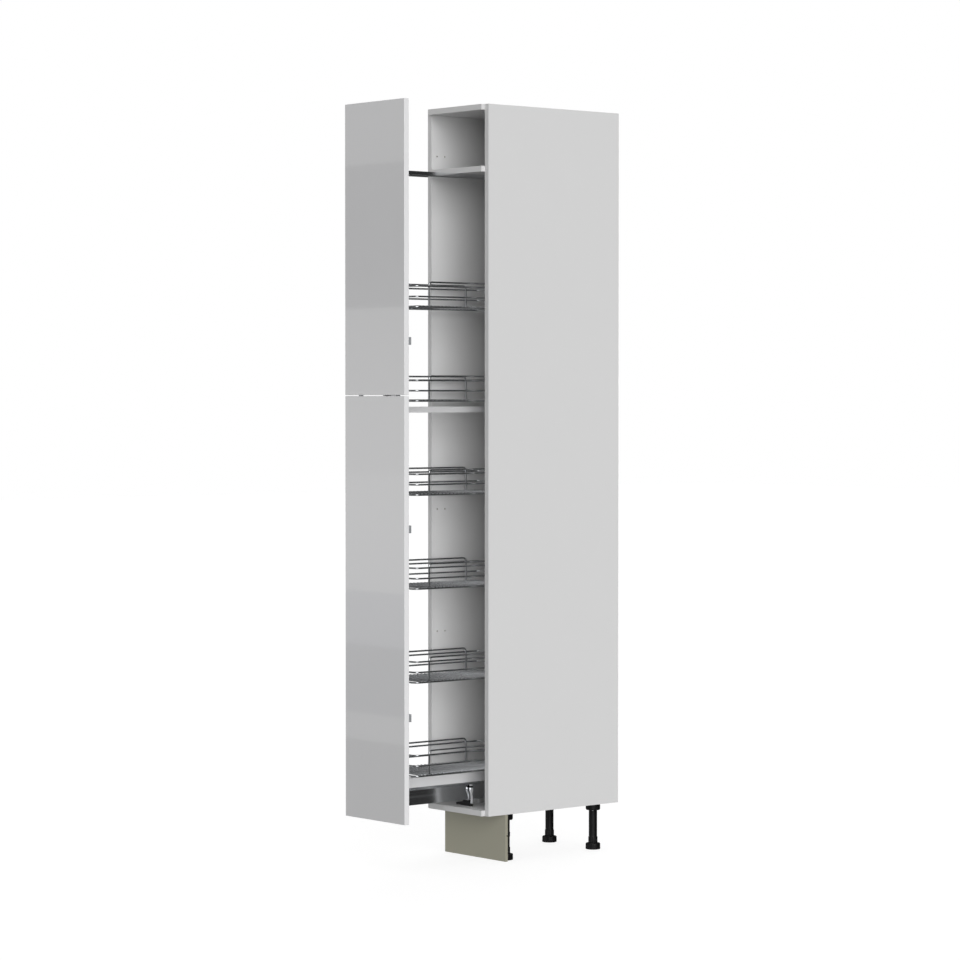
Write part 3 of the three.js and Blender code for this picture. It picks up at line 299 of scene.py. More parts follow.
def outward(bm):
    """Merges what meets and turns every face outwards."""
    bmesh.ops.remove_doubles(bm, verts=bm.verts, dist=MERGE_DISTANCE)
    bmesh.ops.recalc_face_normals(bm, faces=bm.faces)
    return bm


def facing(face, axis, sign=1):
    """Whether a face looks along an axis, or against it for a sign of -1."""
    return face.normal.dot(axis) * sign > FACING


# ------------------------ finishes


def add_node(tree, kind, values=None, links=None, **settings):
    """Adds a node: values and links go to its inputs, and settings to the node itself."""
    node = tree.nodes.new(kind)
    for name, value in settings.items():
        setattr(node, name, value)
    for name, value in (values or {}).items():
        node.inputs[name].default_value = value
    for name, output in (links or {}).items():
        tree.links.new(output, node.inputs[name])
    return node


def new_finish(name, values):
    """A material of that name, its shader set to values, with its tree, shader and coordinates."""
    material = bpy.data.materials.new(name)
    material.use_nodes = True
    tree = material.node_tree
    shader = tree.nodes["Principled BSDF"]
    for socket, value in values.items():
        shader.inputs[socket].default_value = value
    place = add_node(tree, "ShaderNodeTexCoord").outputs["Object"]
    return material, tree, shader, place


def patterned(tree, shader, pattern, colour=None, roughness=None, depth=0, strength=1.0):
    """Lets a texture's output vary the shader.

    A pair of colours or of roughnesses runs from the first to the second as the pattern rises,
    and the surface gets a relief of that depth.
    """
    links = {}
    if colour:
        ends = {"A": (*colour[0], 1), "B": (*colour[1], 1)}
        mix = add_node(tree, "ShaderNodeMix", ends, {"Factor": pattern}, data_type="RGBA")
        links["Base Color"] = mix.outputs["Result"]
    if roughness:
        ends = {"To Min": roughness[0], "To Max": roughness[1]}
        spread = add_node(tree, "ShaderNodeMapRange", ends, {"Value": pattern})
        links["Roughness"] = spread.outputs["Result"]
    if depth:
        heights = {"Distance": depth, "Strength": strength}
        bump = add_node(tree, "ShaderNodeBump", heights, {"Height": pattern})
        links["Normal"] = bump.outputs["Normal"]
    for socket, output in links.items():
        tree.links.new(output, shader.inputs[socket])


def shades(colour, darker):
    """A colour at darker times itself, and as it is."""
    return tuple(c * darker for c in colour), tuple(colour)


def colours():
    """The colours that are set in the sidebar."""
    return bpy.context.scene.larder_colours


GLAZED = {"IOR": 1.5}  # under resin, lacquer or paint
RAW_WOOD = {"Roughness": 0.85, "Specular IOR Level": 0.3}
METAL = {"Metallic": 1.0}
# A full metal mirrors only the dim studio here, and half a metal takes the lamps' light as well.
PALE_METAL = {"Metallic": 0.5}


def grained(name, values, colour, darker, size, detail, roughness, depth=0, stretch=None):
    """A finish in which one noise varies the colour and the roughness, and raises the surface."""
    material, tree, shader, place = new_finish(name, values)
    if stretch:
        along = add_node(tree, "ShaderNodeMapping", {"Scale": stretch}, {"Vector": place})
        place = along.outputs["Vector"]
    marks = {"Scale": 1 / size, "Detail": detail}
    grain = add_node(tree, "ShaderNodeTexNoise", marks, {"Vector": place}).outputs["Fac"]
    patterned(tree, shader, grain, shades(colour, darker), roughness, depth)
    return material


def melamine():
    """Melamine-faced chipboard, pressed against a pearl plate: matt, even, with a soft sheen."""
    material, tree, shader, place = new_finish("melamine_faced_chipboard", GLAZED)
    # The plate's pearls are 0.3 mm apart, and are drawn at 2 mm to show.
    marks = {"Scale": 1 / (2 * MM), "Detail": 3}
    pearls = add_node(tree, "ShaderNodeTexNoise", marks, {"Vector": place}).outputs["Fac"]
    clouds = {"Scale": 1 / (140 * MM), "Detail": 4}
    paper = add_node(tree, "ShaderNodeTexNoise", clouds, {"Vector": place}).outputs["Fac"]
    patterned(tree, shader, paper, shades(colours().melamine, 0.985))
    patterned(tree, shader, pearls, roughness=(0.48, 0.58), depth=0.03 * MM)
    return material


def edge_banding(name, colour):
    """ABS edge banding, extruded and scraped flush: a little smoother than the board's faces."""
    roughness, along = (0.34, 0.44), (1, 1, 0.03)
    return grained(name, GLAZED, colour, 0.985, 1.5 * MM, 2, roughness, 0.01 * MM, along)


def front_banding():
    """The banding on the boards' front edges, a shade darker than their faces."""
    return edge_banding("abs_edge_banding", colours().banding)


def front_edging():
    """The whiter banding round the fronts."""
    return edge_banding("abs_front_edging", colours().edging)


def chipboard():
    """Raw chipboard where it is sawn or drilled: tan wood chips in glue, rough and matt."""
    material, tree, shader, place = new_finish("raw_chipboard", RAW_WOOD)
    chips = add_node(tree, "ShaderNodeTexVoronoi", {"Scale": 1 / (3.5 * MM)}, {"Vector": place})
    tone = add_node(tree, "ShaderNodeSeparateColor", links={"Color": chips.outputs["Color"]})
    patterned(tree, shader, tone.outputs["Red"], (linear("#85796A"), linear("#B8AC99")))
    specks = {"Scale": 1 / (1.2 * MM), "Detail": 3}
    dust = add_node(tree, "ShaderNodeTexNoise", specks, {"Vector": place}).outputs["Fac"]
    patterned(tree, shader, dust, depth=0.25 * MM)
    return material


def hardboard():
    """Lacquered hardboard: a smooth white face with the faint ripple of its fibres."""
    colour, roughness = linear("#D6D5D1"), (0.4, 0.55)
    name = "white_lacquered_hardboard"
    return grained(name, GLAZED, colour, 0.97, 4 * MM, 5, roughness, 0.04 * MM)


def hardboard_back():
    """The raw back of hardboard: brown pressed fibre with the print of its screen."""
    material, tree, shader, place = new_finish("raw_hardboard", {**RAW_WOOD, "Roughness": 0.8})
    strands = {"Scale": 1 / (5 * MM), "Detail": 6}
    fibres = add_node(tree, "ShaderNodeTexNoise", strands, {"Vector": place}).outputs["Fac"]
    patterned(tree, shader, fibres, (linear("#6B4F35"), linear("#97764F")))
    # The screen's mesh is 1.5 mm, and is drawn at 4 mm to show.
    wires = {"Scale": 1 / (4 * MM) / 3, "Distortion": 0.4}
    across, up = (
        add_node(
            tree, "ShaderNodeTexWave", wires, {"Vector": place}, bands_direction=axis
        ).outputs["Fac"]
        for axis in "XZ"
    )
    mesh = add_node(tree, "ShaderNodeMath", links={0: across, 1: up}, operation="MULTIPLY")
    patterned(tree, shader, mesh.outputs["Value"], depth=0.3 * MM, strength=0.6)
    return material


def lacquer():
    """High-gloss lacquer on fibreboard, sprayed and polished: mirror-clear, faintly rippled."""
    coat = {"Coat Weight": 1.0, "Coat Roughness": 0.03, "Coat IOR": 1.5}
    values = {**GLAZED, **coat}
    material, tree, shader, place = new_finish("high_gloss_lacquer", values)
    clouds = {"Scale": 1 / (90 * MM), "Detail": 3}
    pigment = add_node(tree, "ShaderNodeTexNoise", clouds, {"Vector": place}).outputs["Fac"]
    # The denoiser leaves spots where a roughness passes 0.274, so the range ends before it.
    patterned(tree, shader, pigment, shades(colours().lacquer, 0.99), (0.2, 0.27))
    ripples = {"Scale": 1 / (12 * MM), "Detail": 1}
    peel = add_node(tree, "ShaderNodeTexNoise", ripples, {"Vector": place}).outputs["Fac"]
    patterned(tree, shader, peel, depth=0.004 * MM)
    return material


def embossed_foil(name, colour):
    """Printed foil on fibreboard, embossed and satin: a warm grey with a fine grain."""
    # The embossing is 0.4 mm, and is drawn at 2 mm to show.
    roughness = (0.36, 0.48)
    return grained(name, GLAZED, colour, 0.93, 2 * MM, 3, roughness, 0.03 * MM)


def plinth_foil():
    """The foil on the plinth's faces."""
    return embossed_foil("grey_brown_foil", colours().plinth)


def plinth_banding():
    """The darker banding on the plinth's ends."""
    return embossed_foil("grey_brown_banding", colours().plinth_end)


def fibreboard():
    """Raw fibreboard in the plinth's groove: fine, even, yellowish brown and dusty."""
    values, colour = {**RAW_WOOD, "Roughness": 0.9}, linear("#E8D9A0")
    return grained("raw_fibreboard", values, colour, 0.8, 1.5 * MM, 4, None, 0.05 * MM)


def moulded(name, colour, roughness):
    """Moulded plastic from a spark-eroded tool: satin, with a fine even grain."""
    # The tool's grain is 0.2 mm, and is drawn at 1 mm to show.
    values = {"IOR": 1.46, "Specular IOR Level": 0.4}
    return grained(name, values, colour, 0.8, 1 * MM, 2, roughness, 0.04 * MM)


def black_plastic():
    """Black polypropylene of the legs, feet, clips and blocks."""
    return moulded("moulded_polypropylene", colours().plastic, (0.4, 0.52))


def grey_plastic():
    """Grey acetal of the soft-close unit."""
    return moulded("moulded_acetal", linear("#C2C3C3"), (0.4, 0.5))


def chrome():
    """Bright chrome plate over polished wire: a clear mirror, very slightly hazed."""
    return grained("chrome_plate", METAL, colours().chrome, 0.95, 6 * MM, 3, (0.07, 0.16))


def nickel_casting():
    """Nickel plate on die-cast zinc, tumbled satin: pale, half mirror and half a soft grey."""
    # The tumbling's peaks are 0.3 mm apart, and are drawn at 1.5 mm to show.
    name, roughness = "nickel_plated_casting", (0.19, 0.27)
    colour = colours().casting
    return grained(name, PALE_METAL, colour, 0.96, 1.5 * MM, 3, roughness, 0.004 * MM)


def runner_plate():
    """Nickel-chrome plate on rolled strip: a dark, soft mirror with faint lines along it."""
    name, colour = "rolled_nickel_chrome", colours().runner
    roughness, along = (0.13, 0.19), (1, 0.01, 1)
    return grained(name, METAL, colour, 0.92, 1.5 * MM, 2, roughness, stretch=along)


def zinc():
    """Bright zinc plate on pressed steel: satin grey, cloudy and slightly blue."""
    colour, roughness = linear("#C4C7CA"), (0.28, 0.45)
    return grained("zinc_plate", PALE_METAL, colour, 0.85, 9 * MM, 5, roughness, 0.02 * MM)


def powder_coat():
    """Powder coat baked on steel: light grey, satin, with a fine orange peel."""
    # The peel is 1 mm across, and is drawn at 2 mm to show.
    name, roughness = "powder_coated_steel", (0.3, 0.4)
    colour = colours().paint
    return grained(name, GLAZED, colour, 0.96, 2 * MM, 2, roughness, 0.05 * MM)


def bumper():
    """Cast polyurethane of the soft bumpers: clear, slightly milky and soft."""
    milk = (*linear("#ECEDEE"), 1)
    values = {"IOR": 1.48, "Transmission Weight": 0.7, "Base Color": milk}
    material, tree, shader, place = new_finish("clear_polyurethane", values)
    marks = {"Scale": 1 / (3 * MM), "Detail": 2}
    haze = add_node(tree, "ShaderNodeTexNoise", marks, {"Vector": place}).outputs["Fac"]
    patterned(tree, shader, haze, roughness=(0.2, 0.35))
    return material


made_finishes = {}


def finish_of(make):
    """The material of one of the functions above, made when it is first asked for."""
    if make not in made_finishes:
        made_finishes[make] = make()
    return made_finishes[make]


# ------------------------ carcass


def raw_inside(bm, node, raw):
    """Gives the sawn rear edge, grooves and holes of a board its raw finish."""
    low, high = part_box(node)
    skin = 2 * bpy.context.scene.larder_sizes.board_arris
    for face in bm.faces:
        middle = face.calc_center_median()
        buried = all(low[i] + skin < middle[i] < high[i] - skin for i in range(3))
        if buried or facing(face, Y_AXIS):
            face.material_index = raw


def front_edges(bm, banding):
    """Gives the front edges of a board their banding."""
    for face in bm.faces:
        if facing(face, Y_AXIS, -1):
            face.material_index = banding


class LARDER_OT_boards(bpy.types.Operator):
    """Makes the sides, the lying panels, the fixed shelf and the back board."""

    bl_idname = "larder.boards"
    bl_label = "Carcass Boards"

    def execute(self, context):
        arris = context.scene.larder_sizes.board_arris
        for node in ("side_left", "side_right", "bottom_panel", "top_panel", "fixed_shelf"):
            bm = softened(node, arris)
            raw_inside(bm, node, 2)
            front_edges(bm, 1)
            as_piece(f"{node}_board", bm, [melamine, front_banding, chipboard], node)
        bm = softened("back_panel", context.scene.larder_sizes.metal_arris)
        for face in bm.faces:
            if not facing(face, Y_AXIS, -1):
                face.material_index = 1
        as_piece("back_board", bm, [hardboard, hardboard_back], "back_panel")
        return {"FINISHED"}


class LARDER_OT_fronts(bpy.types.Operator):
    """Makes the two gloss fronts, with a melamine back."""

    bl_idname = "larder.fronts"
    bl_label = "Gloss Fronts"

    def execute(self, context):
        arris = context.scene.larder_sizes.front_arris
        for node in ("door_lower", "door_upper"):
            low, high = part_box(node)
            filling = Matrix.LocRotScale((low + high) / 2, None, high - low)
            bm = bmesh.new()
            bmesh.ops.create_cube(bm, size=1, matrix=filling)
            rounded(bm, bm.edges[:], arris, 4)
            for face in bm.faces:
                if facing(face, Y_AXIS):
                    face.material_index = 1
                elif not facing(face, Y_AXIS, -1):
                    face.material_index = 2
            finishes = [lacquer, melamine, front_edging]
            as_piece(f"{node}_front", bm, finishes, node)
        return {"FINISHED"}


# ------------------------ legs and plinth

LEG_FLANGE_HEIGHT = 22 * MM
LEG_TUBE = 27 * MM
LEG_BORE = 17 * MM
LEG_BORE_DEPTH = 60 * MM
LEG_COLLAR_HEIGHT = 20 * MM
FOOT_DISC = 20 * MM
FIT = 0.3 * MM  # play between a piece and what holds it
COLLAR_GRIPS = 16
KEY_NOTCHES = 4
KEY_NOTCH_SHARE = math.radians(32)  # half a notch's width, as a phase of the notches' pitch
TURNED_SEGMENTS = 96


def collar_grip(angle):
    """Whether an angle round the leg lies in one of the collar's finger grips."""
    return math.cos(angle * COLLAR_GRIPS) < 0


def key_notch(angle):
    """Whether an angle round the foot lies in one of the notches for an adjusting key."""
    return math.cos((angle - math.pi / KEY_NOTCHES) * KEY_NOTCHES) > math.cos(KEY_NOTCH_SHARE)


def leg(low, high):
    """A moulded leg's rings: flange, tube and gripped collar, bored from below for the stem.

    The rings run from the bore's top down, out round the collar, and up to the flange's top.
    """
    flange = (high.x - low.x) / 2
    tube = LEG_TUBE / 2
    collar = tube + 1.5 * MM
    bore = LEG_BORE / 2
    shoulder = low.z + LEG_COLLAR_HEIGHT
    under = high.z - LEG_FLANGE_HEIGHT
    grip = 0.7 * MM
    return [
        (bore, low.z + LEG_BORE_DEPTH, 0),
        (bore, low.z + 0.6 * MM, 0),
        (bore + 0.6 * MM, low.z, 0),
        (collar - 0.8 * MM, low.z, 0),
        (collar, low.z + 0.8 * MM, grip),
        (collar, shoulder - 0.8 * MM, grip),
        (collar - 0.8 * MM, shoulder, 0),
        (tube + 0.3 * MM, shoulder + 0.3 * MM, 0),
        (tube, shoulder + 1.5 * MM, 0),
        (tube, under - 2 * MM, 0),
        (tube + 0.6 * MM, under - 0.6 * MM, 0),
        (tube + 2 * MM, under, 0),
        (flange - 2.4 * MM, under, 0),
        (flange - 1.2 * MM, under + 0.6 * MM, 0),
        (flange - 0.3 * MM, under + 2.6 * MM, 0),
        (flange, under + 4 * MM, 0),
        (flange, high.z - 0.5 * MM, 0),
        (flange - 0.5 * MM, high.z, 0),
    ]


def foot(low, high):
    """A screw foot's rings: a disc with key notches, and the stem that runs up into the leg."""
    rim = (high.y - low.y) / 2
    stem = LEG_BORE / 2 - FIT
    disc = low.z + FOOT_DISC
    notch = 3 * MM
    return [
        (rim - 2 * MM, low.z, 0),
        (rim - 0.6 * MM, low.z + 0.6 * MM, 0),
        (rim, low.z + 2 * MM, 0),
        (rim, low.z + 6 * MM, 0),
        (rim, low.z + 6.4 * MM, notch),
        (rim, disc - 3 * MM, notch),
        (rim - 0.9 * MM, disc - 0.9 * MM, notch - 0.9 * MM),
        (rim - 3 * MM, disc, 0),
        (stem + 0.8 * MM, disc, 0),
        (stem, disc + 0.2 * MM, 0),
        (stem, high.z - 1.5 * MM, 0),
        (stem - 1.5 * MM, high.z, 0),
    ]


class LARDER_OT_legs(bpy.types.Operator):
    """Makes the four legs and their screw feet."""

    bl_idname = "larder.legs"
    bl_label = "Legs And Feet"

    def execute(self, context):
        for place in ("front_left", "front_right", "rear_left", "rear_right"):
            for kind, rings, drawn_in in (("leg", leg, collar_grip), ("foot", foot, key_notch)):
                node = f"{kind}_{place}"
                low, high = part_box(node)
                centre = Vector(((low.x + high.x) / 2, (low.y + high.y) / 2, 0))
                bm = bmesh.new()
                turned(bm, centre, rings(low, high), TURNED_SEGMENTS, drawn_in)
                as_piece(f"{node}_moulding", outward(bm), [black_plastic], node)
        return {"FINISHED"}


class LARDER_OT_plinth(bpy.types.Operator):
    """Makes the grooved plinth and its clips."""

    bl_idname = "larder.plinth"
    bl_label = "Plinth"

    def execute(self, context):
        sizes = context.scene.larder_sizes
        low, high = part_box("plinth_panel")
        bm = softened("plinth_panel", sizes.metal_arris)
        for face in bm.faces:
            middle = face.calc_center_median()
            if not low.z + MM < middle.z < high.z - MM or middle.y > high.y - MM:
                continue
            if abs(face.normal.x) > FACING:
                face.material_index = 2
            elif middle.y > low.y + MM:
                face.material_index = 1
        finishes = [plinth_foil, fibreboard, plinth_banding]
        as_piece("plinth_board", bm, finishes, "plinth_panel")
        for hand in ("left", "right"):
            node = f"plinth_clip_{hand}"
            bm = softened(node, sizes.plastic_arris)
            as_piece(f"{node}_moulding", bm, [black_plastic], node)
        return {"FINISHED"}


# ------------------------ runners and frame

DOME_ANGLES = (0, 0.3, 0.6, 0.9, 1.2, 1.45)  # of the bumpers' rings, up from their rims


class LARDER_OT_runners(bpy.types.Operator):
    """Finishes the floor runner, the top runner and the soft-close unit."""

    bl_idname = "larder.runners"
    bl_label = "Runners"

    def execute(self, context):
        sizes = context.scene.larder_sizes
        sheet = (zinc, "zinc_plate", sizes.metal_arris)
        cover = (runner_plate, "dark_chrome", sizes.metal_arris)
        moulding = (black_plastic, "black_plastic", sizes.plastic_arris)
        parts = {
            "floor_runner_rail": sheet,
            "floor_runner_middle": sheet,
            "floor_runner_cover": cover,
            "top_runner_rail": sheet,
            "top_runner_middle": sheet,
            "top_runner_cover": cover,
            "runner_front_block": moulding,
            "runner_rear_block": moulding,
            "runner_front_casting": (nickel_casting, "bright_chrome", sizes.cast_arris),
            "height_wheel": (black_plastic, "black_plastic", sizes.metal_arris),
            "soft_close_housing": (grey_plastic, "grey_plastic", sizes.plastic_arris),
            "soft_close_catch": sheet,
        }
        for node, (finish, slot, arris) in parts.items():
            sharper = BEND_ANGLE if finish is runner_plate else ARRIS_ANGLE
            as_piece(f"{node}_finished", softened(node, arris, sharper), [finish], node)
        return {"FINISHED"}


class LARDER_OT_frame(bpy.types.Operator):
    """Finishes the posts and rails that carry the baskets."""

    bl_idname = "larder.frame"
    bl_label = "Frame"

    def execute(self, context):
        arris = context.scene.larder_sizes.metal_arris
        for node in ("front_post", "rear_post", "floor_rail", "mid_rail"):
            as_piece(f"{node}_coated", softened(node, arris), [powder_coat], node)
        return {"FINISHED"}


class LARDER_OT_brackets(bpy.types.Operator):
    """Finishes the brackets and plates that carry and join the fronts, and makes the bumpers."""

    bl_idname = "larder.brackets"
    bl_label = "Brackets"

    def execute(self, context):
        arris = context.scene.larder_sizes.metal_arris
        hands = ("left", "right")
        brackets = [f"door_bracket_{hand}_{row}" for hand in hands for row in (1, 2, 3)]
        plates = ["door_joint_plate_left", "door_joint_plate_right"]
        for node in (*brackets, "floor_door_bracket", "top_door_bracket", *plates):
            as_piece(f"{node}_plated", softened(node, arris), [zinc], node)
        for level in ("bottom", "top"):
            for hand in hands:
                node = f"door_buffer_{level}_{hand}"
                as_piece(f"{node}_dome", self.dome(node), [bumper], node)
        return {"FINISHED"}

    def dome(self, node):
        """A domed bumper stuck to the back of a front."""
        low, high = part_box(node)
        radius = (high.x - low.x) / 2
        rise = high.y - low.y
        bm = bmesh.new()
        rings = [(radius * math.cos(a), rise * math.sin(a), 0) for a in DOME_ANGLES]
        turned(bm, Vector((0, 0, 0)), rings, segments=32)
        stand = Matrix.Translation(((low.x + high.x) / 2, low.y, (low.z + high.z) / 2))
        bmesh.ops.transform(bm, matrix=stand @ Matrix.Rotation(-QUARTER, 4, "X"), verts=bm.verts)
        return outward(bm)


# ------------------------ screws

RECESS_ARM = 0.28  # reach of a cross recess, as a share of the head's diameter
RECESS_SLOT = 0.07  # half the width of its arms
RECESS_DEPTH = 0.2
RECESS_TAPER = 0.8
# The recess's corners: a quarter's three, turned round four times.
RECESS_QUARTER = (
    Vector((RECESS_SLOT, RECESS_SLOT, 0)),
    Vector((RECESS_SLOT, RECESS_ARM, 0)),
    Vector((-RECESS_SLOT, RECESS_ARM, 0)),
)
RECESS = [Matrix.Rotation(k * QUARTER, 3, "Z") @ c for k in range(4) for c in RECESS_QUARTER]
HEAD_RINGS = [(0.5, 0), (0.5, 0.12), (0.46, 0.21), (0.36, 0.27)]  # radius and height
FLANGE_SCREW, POST_SCREW = 0.75, 0.8  # these are smaller, as shares of the others
BLOCK_FOOT = 3 * MM  # the rear block's foot is this thick
BLOCK_SCREWS = (9 * MM, 14 * MM)  # how far in its screws stand
BRACKET_SHEET = 2.5 * MM
BRACKET_FOOT = 7 * MM  # from a bracket's end to its screws on the front
BRACKET_REACH = 38 * MM  # from the front to the screws in the post
BRACKET_RISES = (-6 * MM, 6 * MM)
PLATE_RISES = (-22 * MM, -9 * MM, 9 * MM, 22 * MM)
ANGLE_ROW = (-9 * MM, 9 * MM)
ANGLE_RISES = (10 * MM, 26 * MM)


def screw_head(bm, place, axis, diameter):
    """A pan head with a cross recess, standing on a face at place and looking along axis."""
    rim = bmesh.ops.create_circle(bm, segments=24, radius=HEAD_RINGS[0][0])["verts"]
    made = list(rim)
    bmesh.ops.edgeloop_fill(bm, edges=rim_edges(rim))
    edges = rim_edges(rim)
    for radius, height in HEAD_RINGS[1:]:
        verts, edges = pushed_out(bm, edges)
        for v in verts:
            v.co = Vector((v.co.x, v.co.y, 0)).normalized() * radius + Vector((0, 0, height))
        made += verts
    top = HEAD_RINGS[-1][1]
    cross = bmesh.ops.create_circle(bm, segments=len(RECESS), radius=RECESS_SLOT)["verts"]
    for v, corner in zip(cross, RECESS):
        v.co = corner + Vector((0, 0, top))
    made += cross
    inner = rim_edges(cross)
    bmesh.ops.bridge_loops(bm, edges=[*edges, *inner])
    verts, edges = pushed_out(bm, inner)
    for v in verts:
        v.co = Vector((v.co.x * RECESS_TAPER, v.co.y * RECESS_TAPER, top - RECESS_DEPTH))
    made += verts
    bmesh.ops.edgeloop_fill(bm, edges=edges)
    turn = Z_AXIS.rotation_difference(axis).to_matrix().to_4x4()
    stand = Matrix.Translation(place) @ turn @ Matrix.Scale(diameter, 4)
    bmesh.ops.transform(bm, matrix=stand, verts=made)


class LARDER_OT_screws(bpy.types.Operator):
    """Makes the pan-head screws in the leg flanges, brackets, plates and the rear runner block."""

    bl_idname = "larder.screws"
    bl_label = "Screws"

    def execute(self, context):
        diameter = context.scene.larder_sizes.screw_head
        carcass = bmesh.new()
        for place in ("front_left", "front_right", "rear_left", "rear_right"):
            low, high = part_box(f"leg_{place}")
            middle = (low + high) / 2
            ring = (LEG_TUBE + high.x - low.x) / 4
            for k in range(4):
                angle = (k + 0.5) * QUARTER
                spot = Vector((math.cos(angle), math.sin(angle), 0)) * ring
                spot += Vector((middle.x, middle.y, high.z - LEG_FLANGE_HEIGHT))
                screw_head(carcass, spot, -Z_AXIS, FLANGE_SCREW * diameter)
        low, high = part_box("runner_rear_block")
        across, along = BLOCK_SCREWS
        for x in (low.x + across, high.x - across):
            for y in (low.y + along, high.y - along):
                screw_head(carcass, Vector((x, y, low.z + BLOCK_FOOT)), Z_AXIS, diameter)
        new_piece("carcass_screws", outward(carcass), [zinc], "cabinet")

        pullout = bmesh.new()
        for hand, side in (("left", -1), ("right", 1)):
            for row in (1, 2, 3):
                low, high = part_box(f"door_bracket_{hand}_{row}")
                outer = high.x if side > 0 else low.x
                inner = low.x if side > 0 else high.x
                middle = (low.z + high.z) / 2
                for rise in BRACKET_RISES:
                    z = middle + rise
                    x = outer - side * BRACKET_FOOT
                    screw_head(pullout, Vector((x, low.y + BRACKET_SHEET, z)), Y_AXIS, diameter)
                    post = Vector((inner + side * BRACKET_SHEET, low.y + BRACKET_REACH, z))
                    screw_head(pullout, post, X_AXIS * side, POST_SCREW * diameter)
            low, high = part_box(f"door_joint_plate_{hand}")
            middle = (low + high) / 2
            for rise in PLATE_RISES:
                spot = Vector((middle.x, high.y, middle.z + rise))
                screw_head(pullout, spot, Y_AXIS, diameter)
        for node, up in (("floor_door_bracket", 1), ("top_door_bracket", -1)):
            low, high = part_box(node)
            far = high.z if up > 0 else low.z
            for x in ANGLE_ROW:
                for rise in ANGLE_RISES:
                    spot = Vector((x, low.y + BRACKET_SHEET, far - up * rise))
                    screw_head(pullout, spot, Y_AXIS, diameter)
        new_piece("pullout_screws", outward(pullout), [zinc], "pullout")
        return {"FINISHED"}


# ------------------------ baskets

BASKET_COUNT = 6
RAIL_TO_BASKET = 18 * MM  # from the floor rail up to the lowest basket's bottom ring
RING_HEIGHTS = (0, 32 * MM, 64.5 * MM)
GUARD_HEIGHT = 77 * MM
GUARD_INSET = 60 * MM
HOOK_SPREAD = 22 * MM  # between the two hook wires of an end
HOOK_TOP = 70 * MM
HOOK_DROP = 18 * MM
HOOK_BEND = 5 * MM
HOOK_TIP_BEND = 3 * MM
POST_WALL = 2 * MM
WELD = 1 * MM  # how deep welded wires sink into each other
NUGGET = 0.42  # a weld nugget's radius, as a share of the wire's diameter


